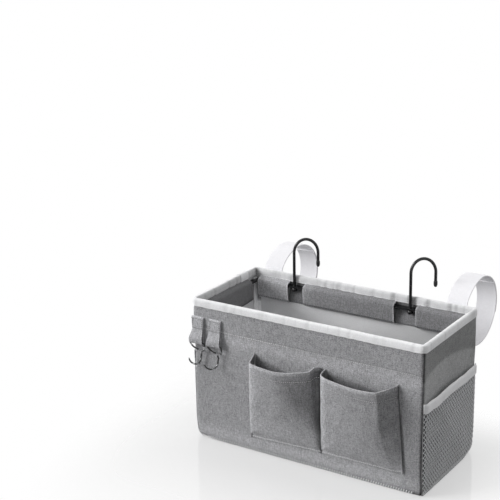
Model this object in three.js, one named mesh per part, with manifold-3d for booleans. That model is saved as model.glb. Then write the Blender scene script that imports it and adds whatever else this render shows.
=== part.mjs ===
// A bedside caddy: a sewn canvas box held open by a flat steel frame in its rim. Two wire bed
// hooks swivel in the rear run of the frame, two hook-and-loop straps close behind it, and it
// has two bellied front pockets, a net pocket on each end and two key hooks on canvas tabs.
// Millimetres, +Z up. The origin is the middle of the underside, +X is the viewer's right and
// the front faces -Y.

import * as THREE from 'three';
import { mergeGeometries, mergeVertices } from 'three/addons/utils/BufferGeometryUtils.js';
import Module from 'manifold-3d';

const wasm = await Module();
wasm.setup();

// Box
const WIDTH = 320; // outside, left to right
const DEPTH = 145; // outside, front to rear
const HEIGHT = 188; // underside to the top of the rim
const CORNER_RADIUS = 6; // upright corners, on the outer canvas
const CANVAS = 0.8; // outer cloth
const LINING = 0.5; // inner cloth
const WALL_BOARD = 1.2; // stiffener in the front and rear walls
const BASE_BOARD = 2.5; // stiffener in the bottom
const GAP = 0.3; // between layers that lie on each other
const SIDE_DENT = 9; // how far the soft ends sink in
const DENT_FOOT = 10; // where the dent starts, over the underside

// Rim
const BINDING_TAPE = 0.6; // thickness of the folded white tape
const BINDING_WIDTH = 9.5; // each leg of the tape
const SLEEVE_CLOTH = 0.6; // facing that holds the frame
const SLEEVE_LENGTH = 39.5; // rim top to the facing's lower edge
const SLEEVE_HEM = 1.5; // facing below its stitch line
const SLEEVE_CORNER = 27; // corner of the box to the facings on the ends
const FRAME_STRIP = 8; // width of the flat steel, lying level
const FRAME_THICKNESS = 2;
const FRAME_DROP = 14; // rim top to the upper face of the steel
const BOARD_DROP = 12; // rim top to the top of the wall boards

// Bed hooks
const HOOK_WIRE = 3.4; // diameter
const HOOK_SPAN = 31; // shank to tip, on the wire's middle
const HOOK_RISE = 18.5; // height of the arch
const HOOK_SPRING = 31; // rim top to where the arch starts
const HOOK_TIP = 12; // rim top to the end of the tip
const HOOK_BALL = 7; // head under the frame, diameter
const TIP_DIAMETER = 5;
const TIP_LENGTH = 8.5;
const TIP_SOCKET = 6; // depth of the wire in its tip
const LEFT_HOOK_IN = 65.6; // left end of the box to its hook
const LEFT_HOOK_TURN = 30; // degrees from +X to the tip
const LEFT_WINDOW = 23; // width of the cut in the facing round the hook
const LEFT_WINDOW_OFF = 7.6; // left edge of that cut to the hook
const RIGHT_HOOK_IN = 86.5; // right end of the box to its hook
const RIGHT_HOOK_TURN = 38;
const RIGHT_WINDOW = 30;
const RIGHT_WINDOW_OFF = 20.5;

// Straps behind
const STRAP_WIDTH = 26;
const STRAP_TAPE = 1.5;
const STRAP_INSET = 15; // end of the box to the strap's outer edge
const STRAP_RADIUS = 50; // of the loop, on the outer half
const STRAP_CENTRE = 45; // rear face to the middle of the loop
const STRAP_DROP = 22; // rim top to the middle of the loop
const STRAP_SEAT = 17; // upper half: rim top to its sewn end
const STRAP_LAP_LOW = -20; // degrees on the loop where the upper half ends
const STRAP_LAP_HIGH = 38; // degrees on the loop where the lower half ends
const STRAP_PATCH = 19; // length of the lower half sewn flat on the rear

// Front pockets
const POCKET_LEFT = -74; // left edge of the left pocket
const POCKET_BOTTOM = 22; // over the underside
const POCKET_HEIGHT = 110;
const POCKET_BELLY = 25; // how far the mouth stands out
const POCKET_SAG = 5; // dip in the middle of the mouth
const POCKET_SQUARE = 0.6; // 1 is an ellipse, less is squarer
const POCKET_SWELL = 0.7; // less fills out lower down
const LEFT_POCKET_WIDTH = 100;
const RIGHT_POCKET_WIDTH = 108;

// Net pockets on the ends
const NET_TOP = 117; // top of its binding, over the underside
const NET_BINDING = 12; // leg of its binding
const NET_FOOT = 3; // lower edge, over the underside
const NET_INSET = 5; // corner of the box to the end of the net
const NET_THICKNESS = 0.8;
const NET_HEM = 3; // closed edge around the gaps
const NET_PITCH_ALONG = 16.5;
const NET_PITCH_UP = 12.5;
const NET_OPEN = 0.8; // share of the pitch that is open

// Key hooks on the front
const TAB_WIDTH = 18;
const TAB_STRIP = 0.9; // folded canvas strip
const TAB_DROP = 23; // rim top to the top of the tab
const TAB_UPPER = 15; // top of the tab to its stitched waist
const TAB_LOWER = 18; // waist to the wire
const TAB_EYE = 2.7; // open width above the waist
const TAB_REACH = 5; // front face to the wire
const TAB_BELLY = 1.4; // how far the lower fold stands past the wire's fold
const TAB_BELLY_UP = 6; // wire to where the lower fold stands out most
const TAB_INSET = 0.5; // end of the box to the first tab
const KEY_WIRE = 1.8; // diameter
const KEY_SPACING = 3.8; // between neighbouring key hooks
const KEY_NECK = 10; // wire in the tab to the neck
const KEY_NECK_SIDE = 5; // neck right of the tab's middle
const KEY_SHANK = 10.5; // neck to the bend
const KEY_BEND = 9; // depth of the bend
const KEY_MOUTH = 17; // width of the bend
const KEY_SWEEP = 162; // degrees of the bend, shank to tip
const LEFT_KEY_TURN = 10; // degrees from the front to the bend
const RIGHT_KEY_TURN = 40;

// Facets
const ARC_STEPS = 3;
const CURVE_STEPS = 12;
const DENT_STEPS = 8;
const POCKET_STEPS = 18;
const WIRE_SIDES = 10;
const ROUND_SIDES = 14;
const HOOK_STEPS = 40;
const KEY_SIDES = 6;
const KEY_STEPS = 54;
const LEAST_RADIUS = 0.5;

// Places that follow from the sizes
const WALL = CANVAS + GAP + WALL_BOARD + GAP + LINING;
const CLOTH_TOP = HEIGHT - BINDING_TAPE - GAP;
const BINDING_CHANNEL = WALL + GAP + SLEEVE_CLOTH + GAP;
const BINDING_INNER = BINDING_CHANNEL + BINDING_TAPE;
const HOOK_INSET = Math.max(WALL + GAP + FRAME_STRIP / 2, BINDING_INNER + GAP + HOOK_WIRE / 2);
const HOOK_Y = DEPTH / 2 - HOOK_INSET;
const FRAME_INSET = HOOK_INSET - FRAME_STRIP / 2;
const FRAME_TOP = HEIGHT - FRAME_DROP;
const FRAME_BOTTOM = FRAME_TOP - FRAME_THICKNESS;
const HOLE_RADIUS = HOOK_WIRE / 2 + GAP;
const WALL_FOOT = CANVAS + GAP;
const LINING_FOOT = WALL_FOOT + BASE_BOARD + GAP;
const SLEEVE_EDGE = HEIGHT - SLEEVE_LENGTH;
const KEY_CLEAR = KEY_WIRE / 2 + GAP; // wire's middle to the cloth it hangs in
const TAB_PITCH = TAB_WIDTH + 2 * (GAP + KEY_WIRE) + KEY_SPACING;
const LEFT_HOOK = {
  name: 'left_hook',
  x: LEFT_HOOK_IN - WIDTH / 2,
  turn: LEFT_HOOK_TURN,
  windowLeft: LEFT_WINDOW_OFF,
  windowRight: LEFT_WINDOW - LEFT_WINDOW_OFF,
};
const RIGHT_HOOK = {
  name: 'right_hook',
  x: WIDTH / 2 - RIGHT_HOOK_IN,
  turn: RIGHT_HOOK_TURN,
  windowLeft: RIGHT_WINDOW_OFF,
  windowRight: RIGHT_WINDOW - RIGHT_WINDOW_OFF,
};

const cloth = (color, roughness = 0.95) => new THREE.MeshStandardMaterial({ color, roughness, metalness: 0 });
const metal = (color, roughness) => new THREE.MeshStandardMaterial({ color, roughness, metalness: 1 });

const frontCanvas = () => cloth(0x8a8a8b);
const endCanvas = () => cloth(0x747575);
const darkCanvas = () => cloth(0x626366);
const liningCloth = () => cloth(0x989590);
const whiteTape = () => cloth(0xe8e8ee, 0.8);
const strapTape = () => cloth(0xf4f3f8, 0.9);
const netThread = () => cloth(0x6b6c6d, 0.85);
const board = () => cloth(0xb9b4a8, 0.9);
const blackSteel = () => metal(0x101012, 0.3);
const blackVinyl = () => cloth(0x141416, 0.5);
const nickel = () => metal(0xb8bcc0, 0.2);

// A named piece of the caddy.
function piece(name, geometry, material) {
  const mesh = new THREE.Mesh(geometry, material);
  mesh.name = name;
  return mesh;
}

// Extrudes a flat outline straight up its own normal.
function extruded(outline, depth) {
  return new THREE.ExtrudeGeometry(outline, { depth, bevelEnabled: false, curveSegments: ARC_STEPS });
}

// A closed geometry as a solid for joining and cutting.
function solid(geometry) {
  const bare = geometry.clone();
  bare.deleteAttribute('normal');
  bare.deleteAttribute('uv');
  const merged = mergeVertices(bare);
  return new wasm.Manifold(new wasm.Mesh({
    numProp: 3,
    vertProperties: Float32Array.from(merged.attributes.position.array),
    triVerts: Uint32Array.from(merged.index.array),
  }));
}

// The geometry of a joined or cut solid.
function geometryOf(manifold) {
  const mesh = manifold.getMesh();
  const geometry = new THREE.BufferGeometry();
  geometry.setAttribute('position', new THREE.BufferAttribute(mesh.vertProperties, 3));
  geometry.setIndex(new THREE.BufferAttribute(mesh.triVerts, 1));
  geometry.computeVertexNormals();
  return geometry;
}

// Joins the closed rings of a sheet, listed upwards and running anticlockwise from above, first
// along one face and back along the other. Both faces are split alike, so sheets can nest.
function loft(rings) {
  const count = rings[0].length;
  const last = (rings.length - 1) * count;
  const index = [];
  for (let ring = 0; ring < rings.length - 1; ring += 1) {
    for (let i = 0; i < count; i += 1) {
      const a = ring * count + i;
      const b = ring * count + (i + 1) % count;
      const front = [a, b, b + count, a, b + count, a + count];
      const back = [a, b, a + count, b, b + count, a + count];
      index.push(...(i < count / 2 ? front : back));
    }
  }
  const cap = (ring) => THREE.ShapeUtils.triangulateShape(ring.map((p) => new THREE.Vector2(p.x, p.y)), []);
  cap(rings[0]).forEach(([a, b, c]) => index.push(c, b, a));
  cap(rings.at(-1)).forEach(([a, b, c]) => index.push(last + a, last + b, last + c));
  const geometry = new THREE.BufferGeometry().setFromPoints(rings.flat());
  geometry.setIndex(index);
  geometry.computeVertexNormals();
  return geometry;
}

// The outline of a strip of even thickness along a bent line, with mitred bends.
function ribbon(points, thickness) {
  const normals = points.slice(1).map((point, i) => {
    const along = point.clone().sub(points[i]).normalize();
    return new THREE.Vector2(-along.y, along.x);
  });
  const mitres = points.map((_, i) => {
    const before = normals[Math.max(i - 1, 0)];
    const after = normals[Math.min(i, normals.length - 1)];
    return before.clone().add(after).divideScalar(1 + before.dot(after));
  });
  const side = (off) => points.map((point, i) => point.clone().addScaledVector(mitres[i], off));
  return new THREE.Shape([...side(thickness / 2), ...side(-thickness / 2).reverse()]);
}

// A rounded rectangle round the middle, drawn as a shape or as a hole.
function roundedRectangle(width, depth, radius, Outline) {
  const x = width / 2 - radius;
  const y = depth / 2 - radius;
  const quarter = Math.PI / 2;
  const outline = new Outline();
  outline.absarc(x, y, radius, 0, quarter);
  outline.absarc(-x, y, radius, quarter, 2 * quarter);
  outline.absarc(-x, -y, radius, 2 * quarter, 3 * quarter);
  outline.absarc(x, -y, radius, 3 * quarter, 4 * quarter);
  return outline;
}

// The box's plan, drawn in by an inset.
function plan(inset, Outline = THREE.Shape) {
  const radius = Math.max(CORNER_RADIUS - inset, LEAST_RADIUS);
  return roundedRectangle(WIDTH - 2 * inset, DEPTH - 2 * inset, radius, Outline);
}

// A level plate of the box's plan.
function plate(inset, bottom, thickness) {
  return extruded(plan(inset), thickness).translate(0, 0, bottom);
}

// A level ring between two insets.
function ring(outerInset, innerInset, bottom, top) {
  const shape = plan(outerInset);
  shape.holes.push(plan(innerInset, THREE.Path));
  return extruded(shape, top - bottom).translate(0, 0, bottom);
}

// The four walls share one frame: x runs along the wall, the outside faces -Y, and a group turns
// the wall to its side of the box.
const WALLS = {
  front: { length: WIDTH, half: DEPTH / 2, turn: 0 },
  right: { length: DEPTH, half: WIDTH / 2, turn: 90 },
  rear: { length: WIDTH, half: DEPTH / 2, turn: 180 },
  left: { length: DEPTH, half: WIDTH / 2, turn: 270 },
};

function wallGroup({ turn }, ...pieces) {
  const group = new THREE.Group();
  group.rotation.z = THREE.MathUtils.degToRad(turn);
  group.add(...pieces);
  return group;
}

// The plan of one wall layer, from corner seam to corner seam, with half of each round corner.
function wallPlan({ length, half }, inset, thickness, runSteps) {
  const cornerX = length / 2 - CORNER_RADIUS;
  const cornerY = CORNER_RADIUS - half;
  const down = 1.5 * Math.PI;
  const edge = (wanted) => {
    const radius = Math.max(wanted, LEAST_RADIUS);
    const turn = Math.PI / 4 - Math.asin(GAP / 2 / radius);
    const left = new THREE.EllipseCurve(-cornerX, cornerY, radius, radius, down - turn, down);
    const right = new THREE.EllipseCurve(cornerX, cornerY, radius, radius, down, down + turn);
    const run = new THREE.LineCurve(left.getPoint(1), right.getPoint(0)).getPoints(runSteps);
    return [...left.getPoints(ARC_STEPS), ...run.slice(1, -1), ...right.getPoints(ARC_STEPS)];
  };
  const outer = edge(CORNER_RADIUS - inset);
  return [...outer, ...edge(CORNER_RADIUS - inset - thickness).reverse()];
}

// A flat wall layer.
function flatWall(wall, inset, thickness, bottom, top) {
  const outline = new THREE.Shape(wallPlan(wall, inset, thickness, 1));
  return extruded(outline, top - bottom).translate(0, 0, bottom);
}

// A soft end of the box, which sinks in between its corners and below the sleeve.
function dentedWall(wall, inset, thickness, bottom, top) {
  const outline = wallPlan(wall, inset, thickness, DENT_STEPS);
  const reach = wall.length / 2 - CORNER_RADIUS;
  const dent = (x, z) => {
    const across = Math.min(Math.abs(x) / reach, 1);
    const upward = THREE.MathUtils.clamp((z - DENT_FOOT) / (SLEEVE_EDGE - DENT_FOOT), 0, 1);
    return SIDE_DENT * Math.cos(across * Math.PI / 2) * Math.sin(upward * Math.PI);
  };
  const levels = [bottom];
  for (let i = 0; i <= DENT_STEPS; i += 1) {
    levels.push(THREE.MathUtils.lerp(DENT_FOOT, SLEEVE_EDGE, i / DENT_STEPS));
  }
  levels.push(top);
  return loft(levels.map((z) => outline.map((p) => new THREE.Vector3(p.x, p.y + dent(p.x, z), z))));
}

// Carries a profile of (distance inwards from the wall's face, height) along the wall.
const ALONG_WALL = new THREE.Matrix4().makeBasis(
  new THREE.Vector3(0, 1, 0), new THREE.Vector3(0, 0, 1), new THREE.Vector3(1, 0, 0));

function running({ half }, profile, from, to) {
  return extruded(profile, to - from).applyMatrix4(ALONG_WALL).translate(from, -half, 0);
}

// Stands an outline of (along the wall, height) up, its thickness growing outwards.
function standing({ half }, outline, outwards, thickness) {
  return extruded(outline, thickness).rotateX(Math.PI / 2).translate(0, -half - outwards, 0);
}

function boxShell() {
  const { front, rear, left, right } = WALLS;
  const boardInset = CANVAS + GAP;
  const liningInset = boardInset + WALL_BOARD + GAP;
  const stiffWall = (name, wall, canvas) => wallGroup(wall,
    piece(`${name}_panel`, flatWall(wall, 0, CANVAS, WALL_FOOT, CLOTH_TOP), canvas),
    piece(`${name}_board`, flatWall(wall, boardInset, WALL_BOARD, LINING_FOOT, HEIGHT - BOARD_DROP), board()),
    piece(`${name}_lining`, flatWall(wall, liningInset, LINING, LINING_FOOT, CLOTH_TOP), liningCloth()));
  const softEnd = (name, wall) => wallGroup(wall,
    piece(`${name}_side_panel`, dentedWall(wall, 0, CANVAS, WALL_FOOT, CLOTH_TOP), endCanvas()),
    piece(`${name}_lining`, dentedWall(wall, boardInset, LINING, LINING_FOOT, CLOTH_TOP), liningCloth()));
  return [
    piece('bottom_panel', plate(0, 0, CANVAS), frontCanvas()),
    piece('base_board', plate(boardInset, WALL_FOOT, BASE_BOARD), board()),
    piece('bottom_lining', plate(WALL + GAP, LINING_FOOT, LINING), liningCloth()),
    stiffWall('front', front, frontCanvas()),
    stiffWall('rear', rear, frontCanvas()),
    softEnd('left', left),
    softEnd('right', right),
  ];
}

// White tape folded over the top edge of the walls, all round.
function rimBinding() {
  const below = HEIGHT - BINDING_WIDTH;
  const tape = solid(ring(-GAP - BINDING_TAPE, BINDING_INNER, below, HEIGHT));
  const channel = solid(ring(-GAP, BINDING_CHANNEL, below - GAP, HEIGHT - BINDING_TAPE));
  return piece('rim_binding', geometryOf(tape.subtract(channel)), whiteTape());
}

// One strip of flat steel bent round the rim, with a hole for each bed hook in its rear run.
function rimFrame() {
  const shape = plan(FRAME_INSET);
  shape.holes.push(plan(FRAME_INSET + FRAME_STRIP, THREE.Path));
  [LEFT_HOOK, RIGHT_HOOK].forEach(({ x }) => {
    const hole = new THREE.EllipseCurve(x, HOOK_Y, HOLE_RADIUS, HOLE_RADIUS);
    shape.holes.push(new THREE.Path(hole.getPoints(2 * WIRE_SIDES).slice(1)));
  });
  return piece('rim_frame', extruded(shape, FRAME_THICKNESS).translate(0, 0, FRAME_BOTTOM), blackSteel());
}

// The facing that wraps the frame: from inside the binding, out round the steel, and back to its
// stitch line on the wall.
function sleeve(name, wall, from, to) {
  const half = SLEEVE_CLOTH / 2;
  const onWall = WALL + GAP + half;
  const onFrame = FRAME_INSET + FRAME_STRIP + GAP + half;
  const profile = ribbon([
    new THREE.Vector2(onWall, CLOTH_TOP),
    new THREE.Vector2(onWall, HEIGHT - BINDING_WIDTH - GAP - half),
    new THREE.Vector2(onFrame, FRAME_TOP + GAP + half),
    new THREE.Vector2(onFrame, FRAME_BOTTOM - GAP - half),
    new THREE.Vector2(onWall, SLEEVE_EDGE + SLEEVE_HEM),
    new THREE.Vector2(onWall, SLEEVE_EDGE),
  ], SLEEVE_CLOTH);
  return piece(name, running(wall, profile, from, to), darkCanvas());
}

// Facings on all four walls. Those on the ends stop short, so that the frame shows in the corners,
// and the rear one is cut away round each bed hook. The rear wall's own x runs to the left.
function sleeves() {
  const { front, rear, left, right } = WALLS;
  const wide = WIDTH / 2 - (FRAME_INSET + FRAME_STRIP + 2 * SLEEVE_CLOTH + GAP);
  const deep = DEPTH / 2 - SLEEVE_CORNER;
  const cut = ({ x, windowLeft, windowRight }) => ({ from: -x - windowRight, to: windowLeft - x });
  const leftCut = cut(LEFT_HOOK);
  const rightCut = cut(RIGHT_HOOK);
  return [
    wallGroup(front, sleeve('front_sleeve', front, -wide, wide)),
    wallGroup(left, sleeve('left_sleeve', left, -deep, deep)),
    wallGroup(right, sleeve('right_sleeve', right, -deep, deep)),
    wallGroup(rear,
      sleeve('rear_sleeve_left', rear, leftCut.to, wide),
      sleeve('rear_sleeve_middle', rear, rightCut.to, leftCut.from),
      sleeve('rear_sleeve_right', rear, -wide, rightCut.from)),
  ];
}

// A flat path of (distance, height) stood up along +X.
class UprightCurve extends THREE.Curve {
  constructor(path) {
    super();
    this.path = path;
  }

  getPoint(t, target = new THREE.Vector3()) {
    const point = this.path.getPoint(t);
    return target.set(point.x, 0, point.y);
  }
}

// A round wire along a curve.
function wire(curve, diameter, steps, sides) {
  const section = new THREE.Shape().absarc(0, 0, diameter / 2, 0, 2 * Math.PI);
  return new THREE.ExtrudeGeometry(section, { extrudePath: curve, steps, curveSegments: sides / 2 });
}

// A bed hook: a ball head under the frame, a shank through its hole, an arch and a vinyl tip.
function bedHook({ name, x, turn }) {
  const ballRadius = HOOK_BALL / 2;
  const seat = Math.sqrt(Math.max(ballRadius ** 2 - HOLE_RADIUS ** 2, 0));
  const ballZ = FRAME_BOTTOM - GAP - seat;
  const spring = HEIGHT + HOOK_SPRING;
  const tipEnd = HEIGHT + HOOK_TIP;
  const tipTop = tipEnd + TIP_LENGTH;
  const path = new THREE.Path().moveTo(0, ballZ).lineTo(0, spring);
  path.absellipse(HOOK_SPAN / 2, spring, HOOK_SPAN / 2, HOOK_RISE, Math.PI, 0, true);
  path.lineTo(HOOK_SPAN, tipTop - TIP_SOCKET);
  const shank = solid(wire(new UprightCurve(path), HOOK_WIRE, HOOK_STEPS, WIRE_SIDES));
  const head = new THREE.SphereGeometry(ballRadius, ROUND_SIDES, WIRE_SIDES).rotateX(Math.PI / 2);
  const ball = solid(head.translate(0, 0, ballZ));

  const radius = TIP_DIAMETER / 2;
  const bore = HOOK_WIRE / 2 + GAP;
  const crown = new THREE.EllipseCurve(0, radius, radius, radius, -Math.PI / 2, 0).getPoints(ARC_STEPS + 1);
  const profile = [
    ...crown,
    new THREE.Vector2(radius, TIP_LENGTH),
    new THREE.Vector2(bore, TIP_LENGTH),
    new THREE.Vector2(bore, TIP_LENGTH - TIP_SOCKET - GAP),
    new THREE.Vector2(0, TIP_LENGTH - TIP_SOCKET - GAP),
  ];
  profile[0].x = 0;
  const tip = new THREE.LatheGeometry(profile, ROUND_SIDES).rotateX(Math.PI / 2);
  tip.translate(HOOK_SPAN, 0, tipEnd);

  const group = new THREE.Group();
  group.position.set(x, HOOK_Y, 0);
  group.rotation.z = THREE.MathUtils.degToRad(turn);
  group.add(piece(name, geometryOf(shank.add(ball)), blackSteel()), piece(`${name}_tip`, tip, blackVinyl()));
  return group;
}

// A hook-and-loop strap in two halves that lap on the far side of their loop. The upper half is
// sewn behind the rim and the lower half flat on the rear wall.
function strap(side, from) {
  const middle = HEIGHT - STRAP_DROP;
  const half = (name, radius, off, sewnFrom, outwards, lap) => {
    const start = Math.acos(THREE.MathUtils.clamp((off - STRAP_CENTRE) / radius, -1, 1)) * outwards;
    const end = THREE.MathUtils.degToRad(lap);
    const arc = new THREE.EllipseCurve(STRAP_CENTRE, middle, radius, radius, start, end, outwards > 0);
    const loop = arc.getPoints(2 * CURVE_STEPS);
    const sewn = new THREE.Vector2(off, sewnFrom(loop[0].y));
    const profile = ribbon([sewn, ...loop], STRAP_TAPE);
    const geometry = extruded(profile, STRAP_WIDTH).applyMatrix4(ALONG_WALL).translate(from, DEPTH / 2, 0);
    return piece(`${side}_strap_${name}`, geometry, strapTape());
  };
  const overBinding = GAP + BINDING_TAPE + GAP + STRAP_TAPE / 2;
  const onCanvas = GAP + STRAP_TAPE / 2;
  const inner = STRAP_RADIUS - STRAP_TAPE - GAP;
  return [
    half('upper', STRAP_RADIUS, overBinding, () => HEIGHT - STRAP_SEAT, 1, STRAP_LAP_LOW),
    half('lower', inner, onCanvas, (z) => z + STRAP_PATCH, -1, STRAP_LAP_HIGH),
  ];
}

// A patch pocket whose squarish belly opens towards its mouth.
function frontPocket(name, from, width) {
  const middle = from + width / 2;
  const squared = (value) => Math.sign(value) * Math.abs(value) ** POCKET_SQUARE;
  const edge = (share, thickness) => {
    const belly = POCKET_BELLY * share ** POCKET_SWELL;
    const points = [];
    for (let i = 0; i <= POCKET_STEPS; i += 1) {
      const angle = Math.PI * i / POCKET_STEPS;
      const bulge = Math.max(Math.sin(angle), 0);
      const x = middle - (width / 2 - CANVAS + thickness) * squared(Math.cos(angle));
      const y = -DEPTH / 2 - GAP - (belly + thickness) * squared(bulge);
      const z = POCKET_BOTTOM + share * (POCKET_HEIGHT - POCKET_SAG * bulge ** 2);
      points.push(new THREE.Vector3(x, y, z));
    }
    return points;
  };
  const rings = [];
  for (let i = 0; i <= DENT_STEPS; i += 1) {
    const share = i / DENT_STEPS;
    rings.push([...edge(share, CANVAS), ...edge(share, 0).reverse()]);
  }
  return piece(name, loft(rings), frontCanvas());
}

function frontPockets() {
  const seam = POCKET_LEFT + LEFT_POCKET_WIDTH;
  return [
    frontPocket('left_front_pocket', POCKET_LEFT + GAP / 2, LEFT_POCKET_WIDTH - GAP),
    frontPocket('right_front_pocket', seam + GAP / 2, RIGHT_POCKET_WIDTH - GAP),
  ];
}

// A flat diamond net across one end of the box, with white tape folded over its mouth.
function netPocket(side) {
  const wall = WALLS[side];
  const half = wall.length / 2 - NET_INSET;
  const lowest = NET_FOOT + NET_HEM;
  const tapeFoot = NET_TOP - NET_BINDING;
  const netTop = NET_TOP - BINDING_TAPE - GAP;
  const innerLeg = GAP + BINDING_TAPE;
  const outerLeg = innerLeg + GAP + NET_THICKNESS + GAP;
  const sheet = new THREE.Shape().moveTo(-half, NET_FOOT).lineTo(half, NET_FOOT);
  sheet.lineTo(half, netTop).lineTo(-half, netTop);
  const gapAlong = NET_PITCH_ALONG * NET_OPEN / 2;
  const gapUp = NET_PITCH_UP * NET_OPEN / 2;
  const diamond = new THREE.Shape().moveTo(-gapAlong, 0).lineTo(0, -gapUp);
  diamond.lineTo(gapAlong, 0).lineTo(0, gapUp);
  const gap = standing(wall, diamond, innerLeg, outerLeg - innerLeg);
  const rows = Math.floor((tapeFoot - lowest - 2 * gapUp) / (NET_PITCH_UP / 2));
  const gaps = [];
  for (let row = 0; row <= rows; row += 1) {
    const z = lowest + gapUp + row * NET_PITCH_UP / 2;
    const shift = (row % 2) / 2;
    const reach = Math.floor((half - NET_HEM - gapAlong) / NET_PITCH_ALONG + shift) - shift;
    for (let column = -reach; column <= reach; column += 1) {
      gaps.push(gap.clone().translate(column * NET_PITCH_ALONG, 0, z));
    }
  }
  const plain = solid(standing(wall, sheet, innerLeg + GAP, NET_THICKNESS));
  const net = geometryOf(plain.subtract(solid(mergeGeometries(gaps))));
  const fold = [[GAP, tapeFoot], [GAP, NET_TOP], [outerLeg + BINDING_TAPE, NET_TOP],
    [outerLeg + BINDING_TAPE, tapeFoot], [outerLeg, tapeFoot], [outerLeg, NET_TOP - BINDING_TAPE],
    [innerLeg, NET_TOP - BINDING_TAPE], [innerLeg, tapeFoot]];
  const tape = new THREE.Shape(fold.map(([outwards, z]) => new THREE.Vector2(-outwards, z)));
  return wallGroup(wall,
    piece(`${side}_mesh_pocket`, net, netThread()),
    piece(`${side}_mesh_binding`, running(wall, tape, -half, half), whiteTape()));
}

// A canvas strip folded double, stitched at its top and waist, so that it has an eye above the
// waist and holds the key hook's wire in the fold below. Distances are outwards from the front.
function keyTab(side, x) {
  const top = HEIGHT - TAB_DROP;
  const waist = top - TAB_UPPER;
  const wireZ = waist - TAB_LOWER;
  const back = GAP;
  const flat = back + 2 * TAB_STRIP;
  const eye = flat + TAB_EYE;
  const fold = KEY_CLEAR + TAB_STRIP;
  const midEye = (top + waist) / 2;
  const belly = wireZ + TAB_BELLY_UP;
  const at = (outwards, z) => new THREE.Vector2(-outwards, z);

  const band = new THREE.Shape().moveTo(-back, top).lineTo(-back, waist).lineTo(fold - TAB_REACH, wireZ);
  band.absarc(-TAB_REACH, wireZ, fold, 0, Math.PI, true);
  band.splineThru([at(TAB_REACH + fold + TAB_BELLY, belly), at(flat, waist)]);
  band.splineThru([at(eye, midEye), at(flat, top)]);

  const upperEye = new THREE.Shape().moveTo(-back - TAB_STRIP, waist + TAB_STRIP);
  upperEye.lineTo(-back - TAB_STRIP, top - TAB_STRIP).lineTo(TAB_STRIP - eye, midEye);
  const lowerEye = new THREE.Shape().moveTo(-back - TAB_STRIP, waist - 2 * TAB_STRIP);
  lowerEye.lineTo(KEY_CLEAR - TAB_REACH, wireZ);
  lowerEye.absarc(-TAB_REACH, wireZ, KEY_CLEAR, 0, Math.PI, true);
  lowerEye.lineTo(-TAB_REACH - KEY_CLEAR - TAB_BELLY / 2, belly);

  const across = (outline, width) => solid(running(WALLS.front, outline, x - width / 2, x + width / 2));
  const eyes = [upperEye, lowerEye].map((outline) => across(outline, TAB_WIDTH + 2 * GAP));
  const tab = across(band, TAB_WIDTH).subtract(eyes[0]).subtract(eyes[1]);
  return piece(`${side}_key_tab`, geometryOf(tab), darkCanvas());
}

// A key hook bent from one wire: a loop through the tab, drawn in to a neck, and an open hook.
function keyHook(side, x, turn) {
  const arm = TAB_WIDTH / 2 + GAP + KEY_WIRE / 2;
  const under = KEY_CLEAR + TAB_STRIP + GAP + KEY_WIRE / 2;
  const bow = KEY_WIRE / 2; // how far the wire rounds its small bends
  const bendZ = -KEY_NECK - KEY_SHANK;
  const tip = Math.PI + THREE.MathUtils.degToRad(KEY_SWEEP);
  const angle = THREE.MathUtils.degToRad(turn);
  const points = [
    new THREE.Vector3(KEY_NECK_SIDE - 2 * KEY_WIRE, 0, bow - KEY_NECK),
    new THREE.Vector3(-arm / 2, 0, -(under + KEY_NECK + bow) / 2),
    new THREE.Vector3(-arm, 0, -KEY_CLEAR - KEY_WIRE),
    new THREE.Vector3(-arm, 0, -bow),
    new THREE.Vector3(bow - arm, 0, 0),
    new THREE.Vector3(-arm / 2, 0, 0),
    new THREE.Vector3(arm / 2, 0, 0),
    new THREE.Vector3(arm - bow, 0, 0),
    new THREE.Vector3(arm, 0, -bow),
    new THREE.Vector3(arm, 0, KEY_WIRE - KEY_NECK),
    new THREE.Vector3(arm - KEY_WIRE, 0, -KEY_NECK),
    new THREE.Vector3(KEY_NECK_SIDE + bow, 0, -KEY_NECK - bow),
    new THREE.Vector3(KEY_NECK_SIDE, 0, -KEY_NECK - KEY_WIRE),
    new THREE.Vector3(KEY_NECK_SIDE + bow, 0, -KEY_NECK - KEY_SHANK / 2),
  ];
  const bend = new THREE.EllipseCurve(KEY_MOUTH / 2, bendZ, KEY_MOUTH / 2, KEY_BEND, Math.PI, tip);
  bend.getPoints(CURVE_STEPS / 2).forEach((p) => {
    points.push(new THREE.Vector3(KEY_NECK_SIDE - p.x * Math.cos(angle), -p.x * Math.sin(angle), p.y));
  });
  const curve = new THREE.CatmullRomCurve3(points);
  const mesh = piece(`${side}_key_hook`, wire(curve, KEY_WIRE, KEY_STEPS, KEY_SIDES), nickel());
  mesh.position.set(x, -DEPTH / 2 - TAB_REACH, HEIGHT - TAB_DROP - TAB_UPPER - TAB_LOWER);
  return mesh;
}

function keyHooks() {
  const left = -WIDTH / 2 + TAB_INSET + TAB_WIDTH / 2;
  const right = left + TAB_PITCH;
  return [
    keyTab('left', left),
    keyHook('left', left, LEFT_KEY_TURN),
    keyTab('right', right),
    keyHook('right', right, RIGHT_KEY_TURN),
  ];
}

const caddy = new THREE.Group();
caddy.add(...boxShell(), rimBinding(), rimFrame(), ...sleeves());
caddy.add(bedHook(LEFT_HOOK), bedHook(RIGHT_HOOK));
caddy.add(...strap('left', STRAP_INSET - WIDTH / 2));
caddy.add(...strap('right', WIDTH / 2 - STRAP_INSET - STRAP_WIDTH));
caddy.add(...frontPockets(), netPocket('left'), netPocket('right'), ...keyHooks());

export default caddy;
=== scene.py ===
"""A sewn canvas bedside caddy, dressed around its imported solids.

Lengths in the code are millimetres until a mesh is made; Blender's own are metres.
"""

import math

import bpy
import numpy as np
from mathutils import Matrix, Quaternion, Vector, noise


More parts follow.
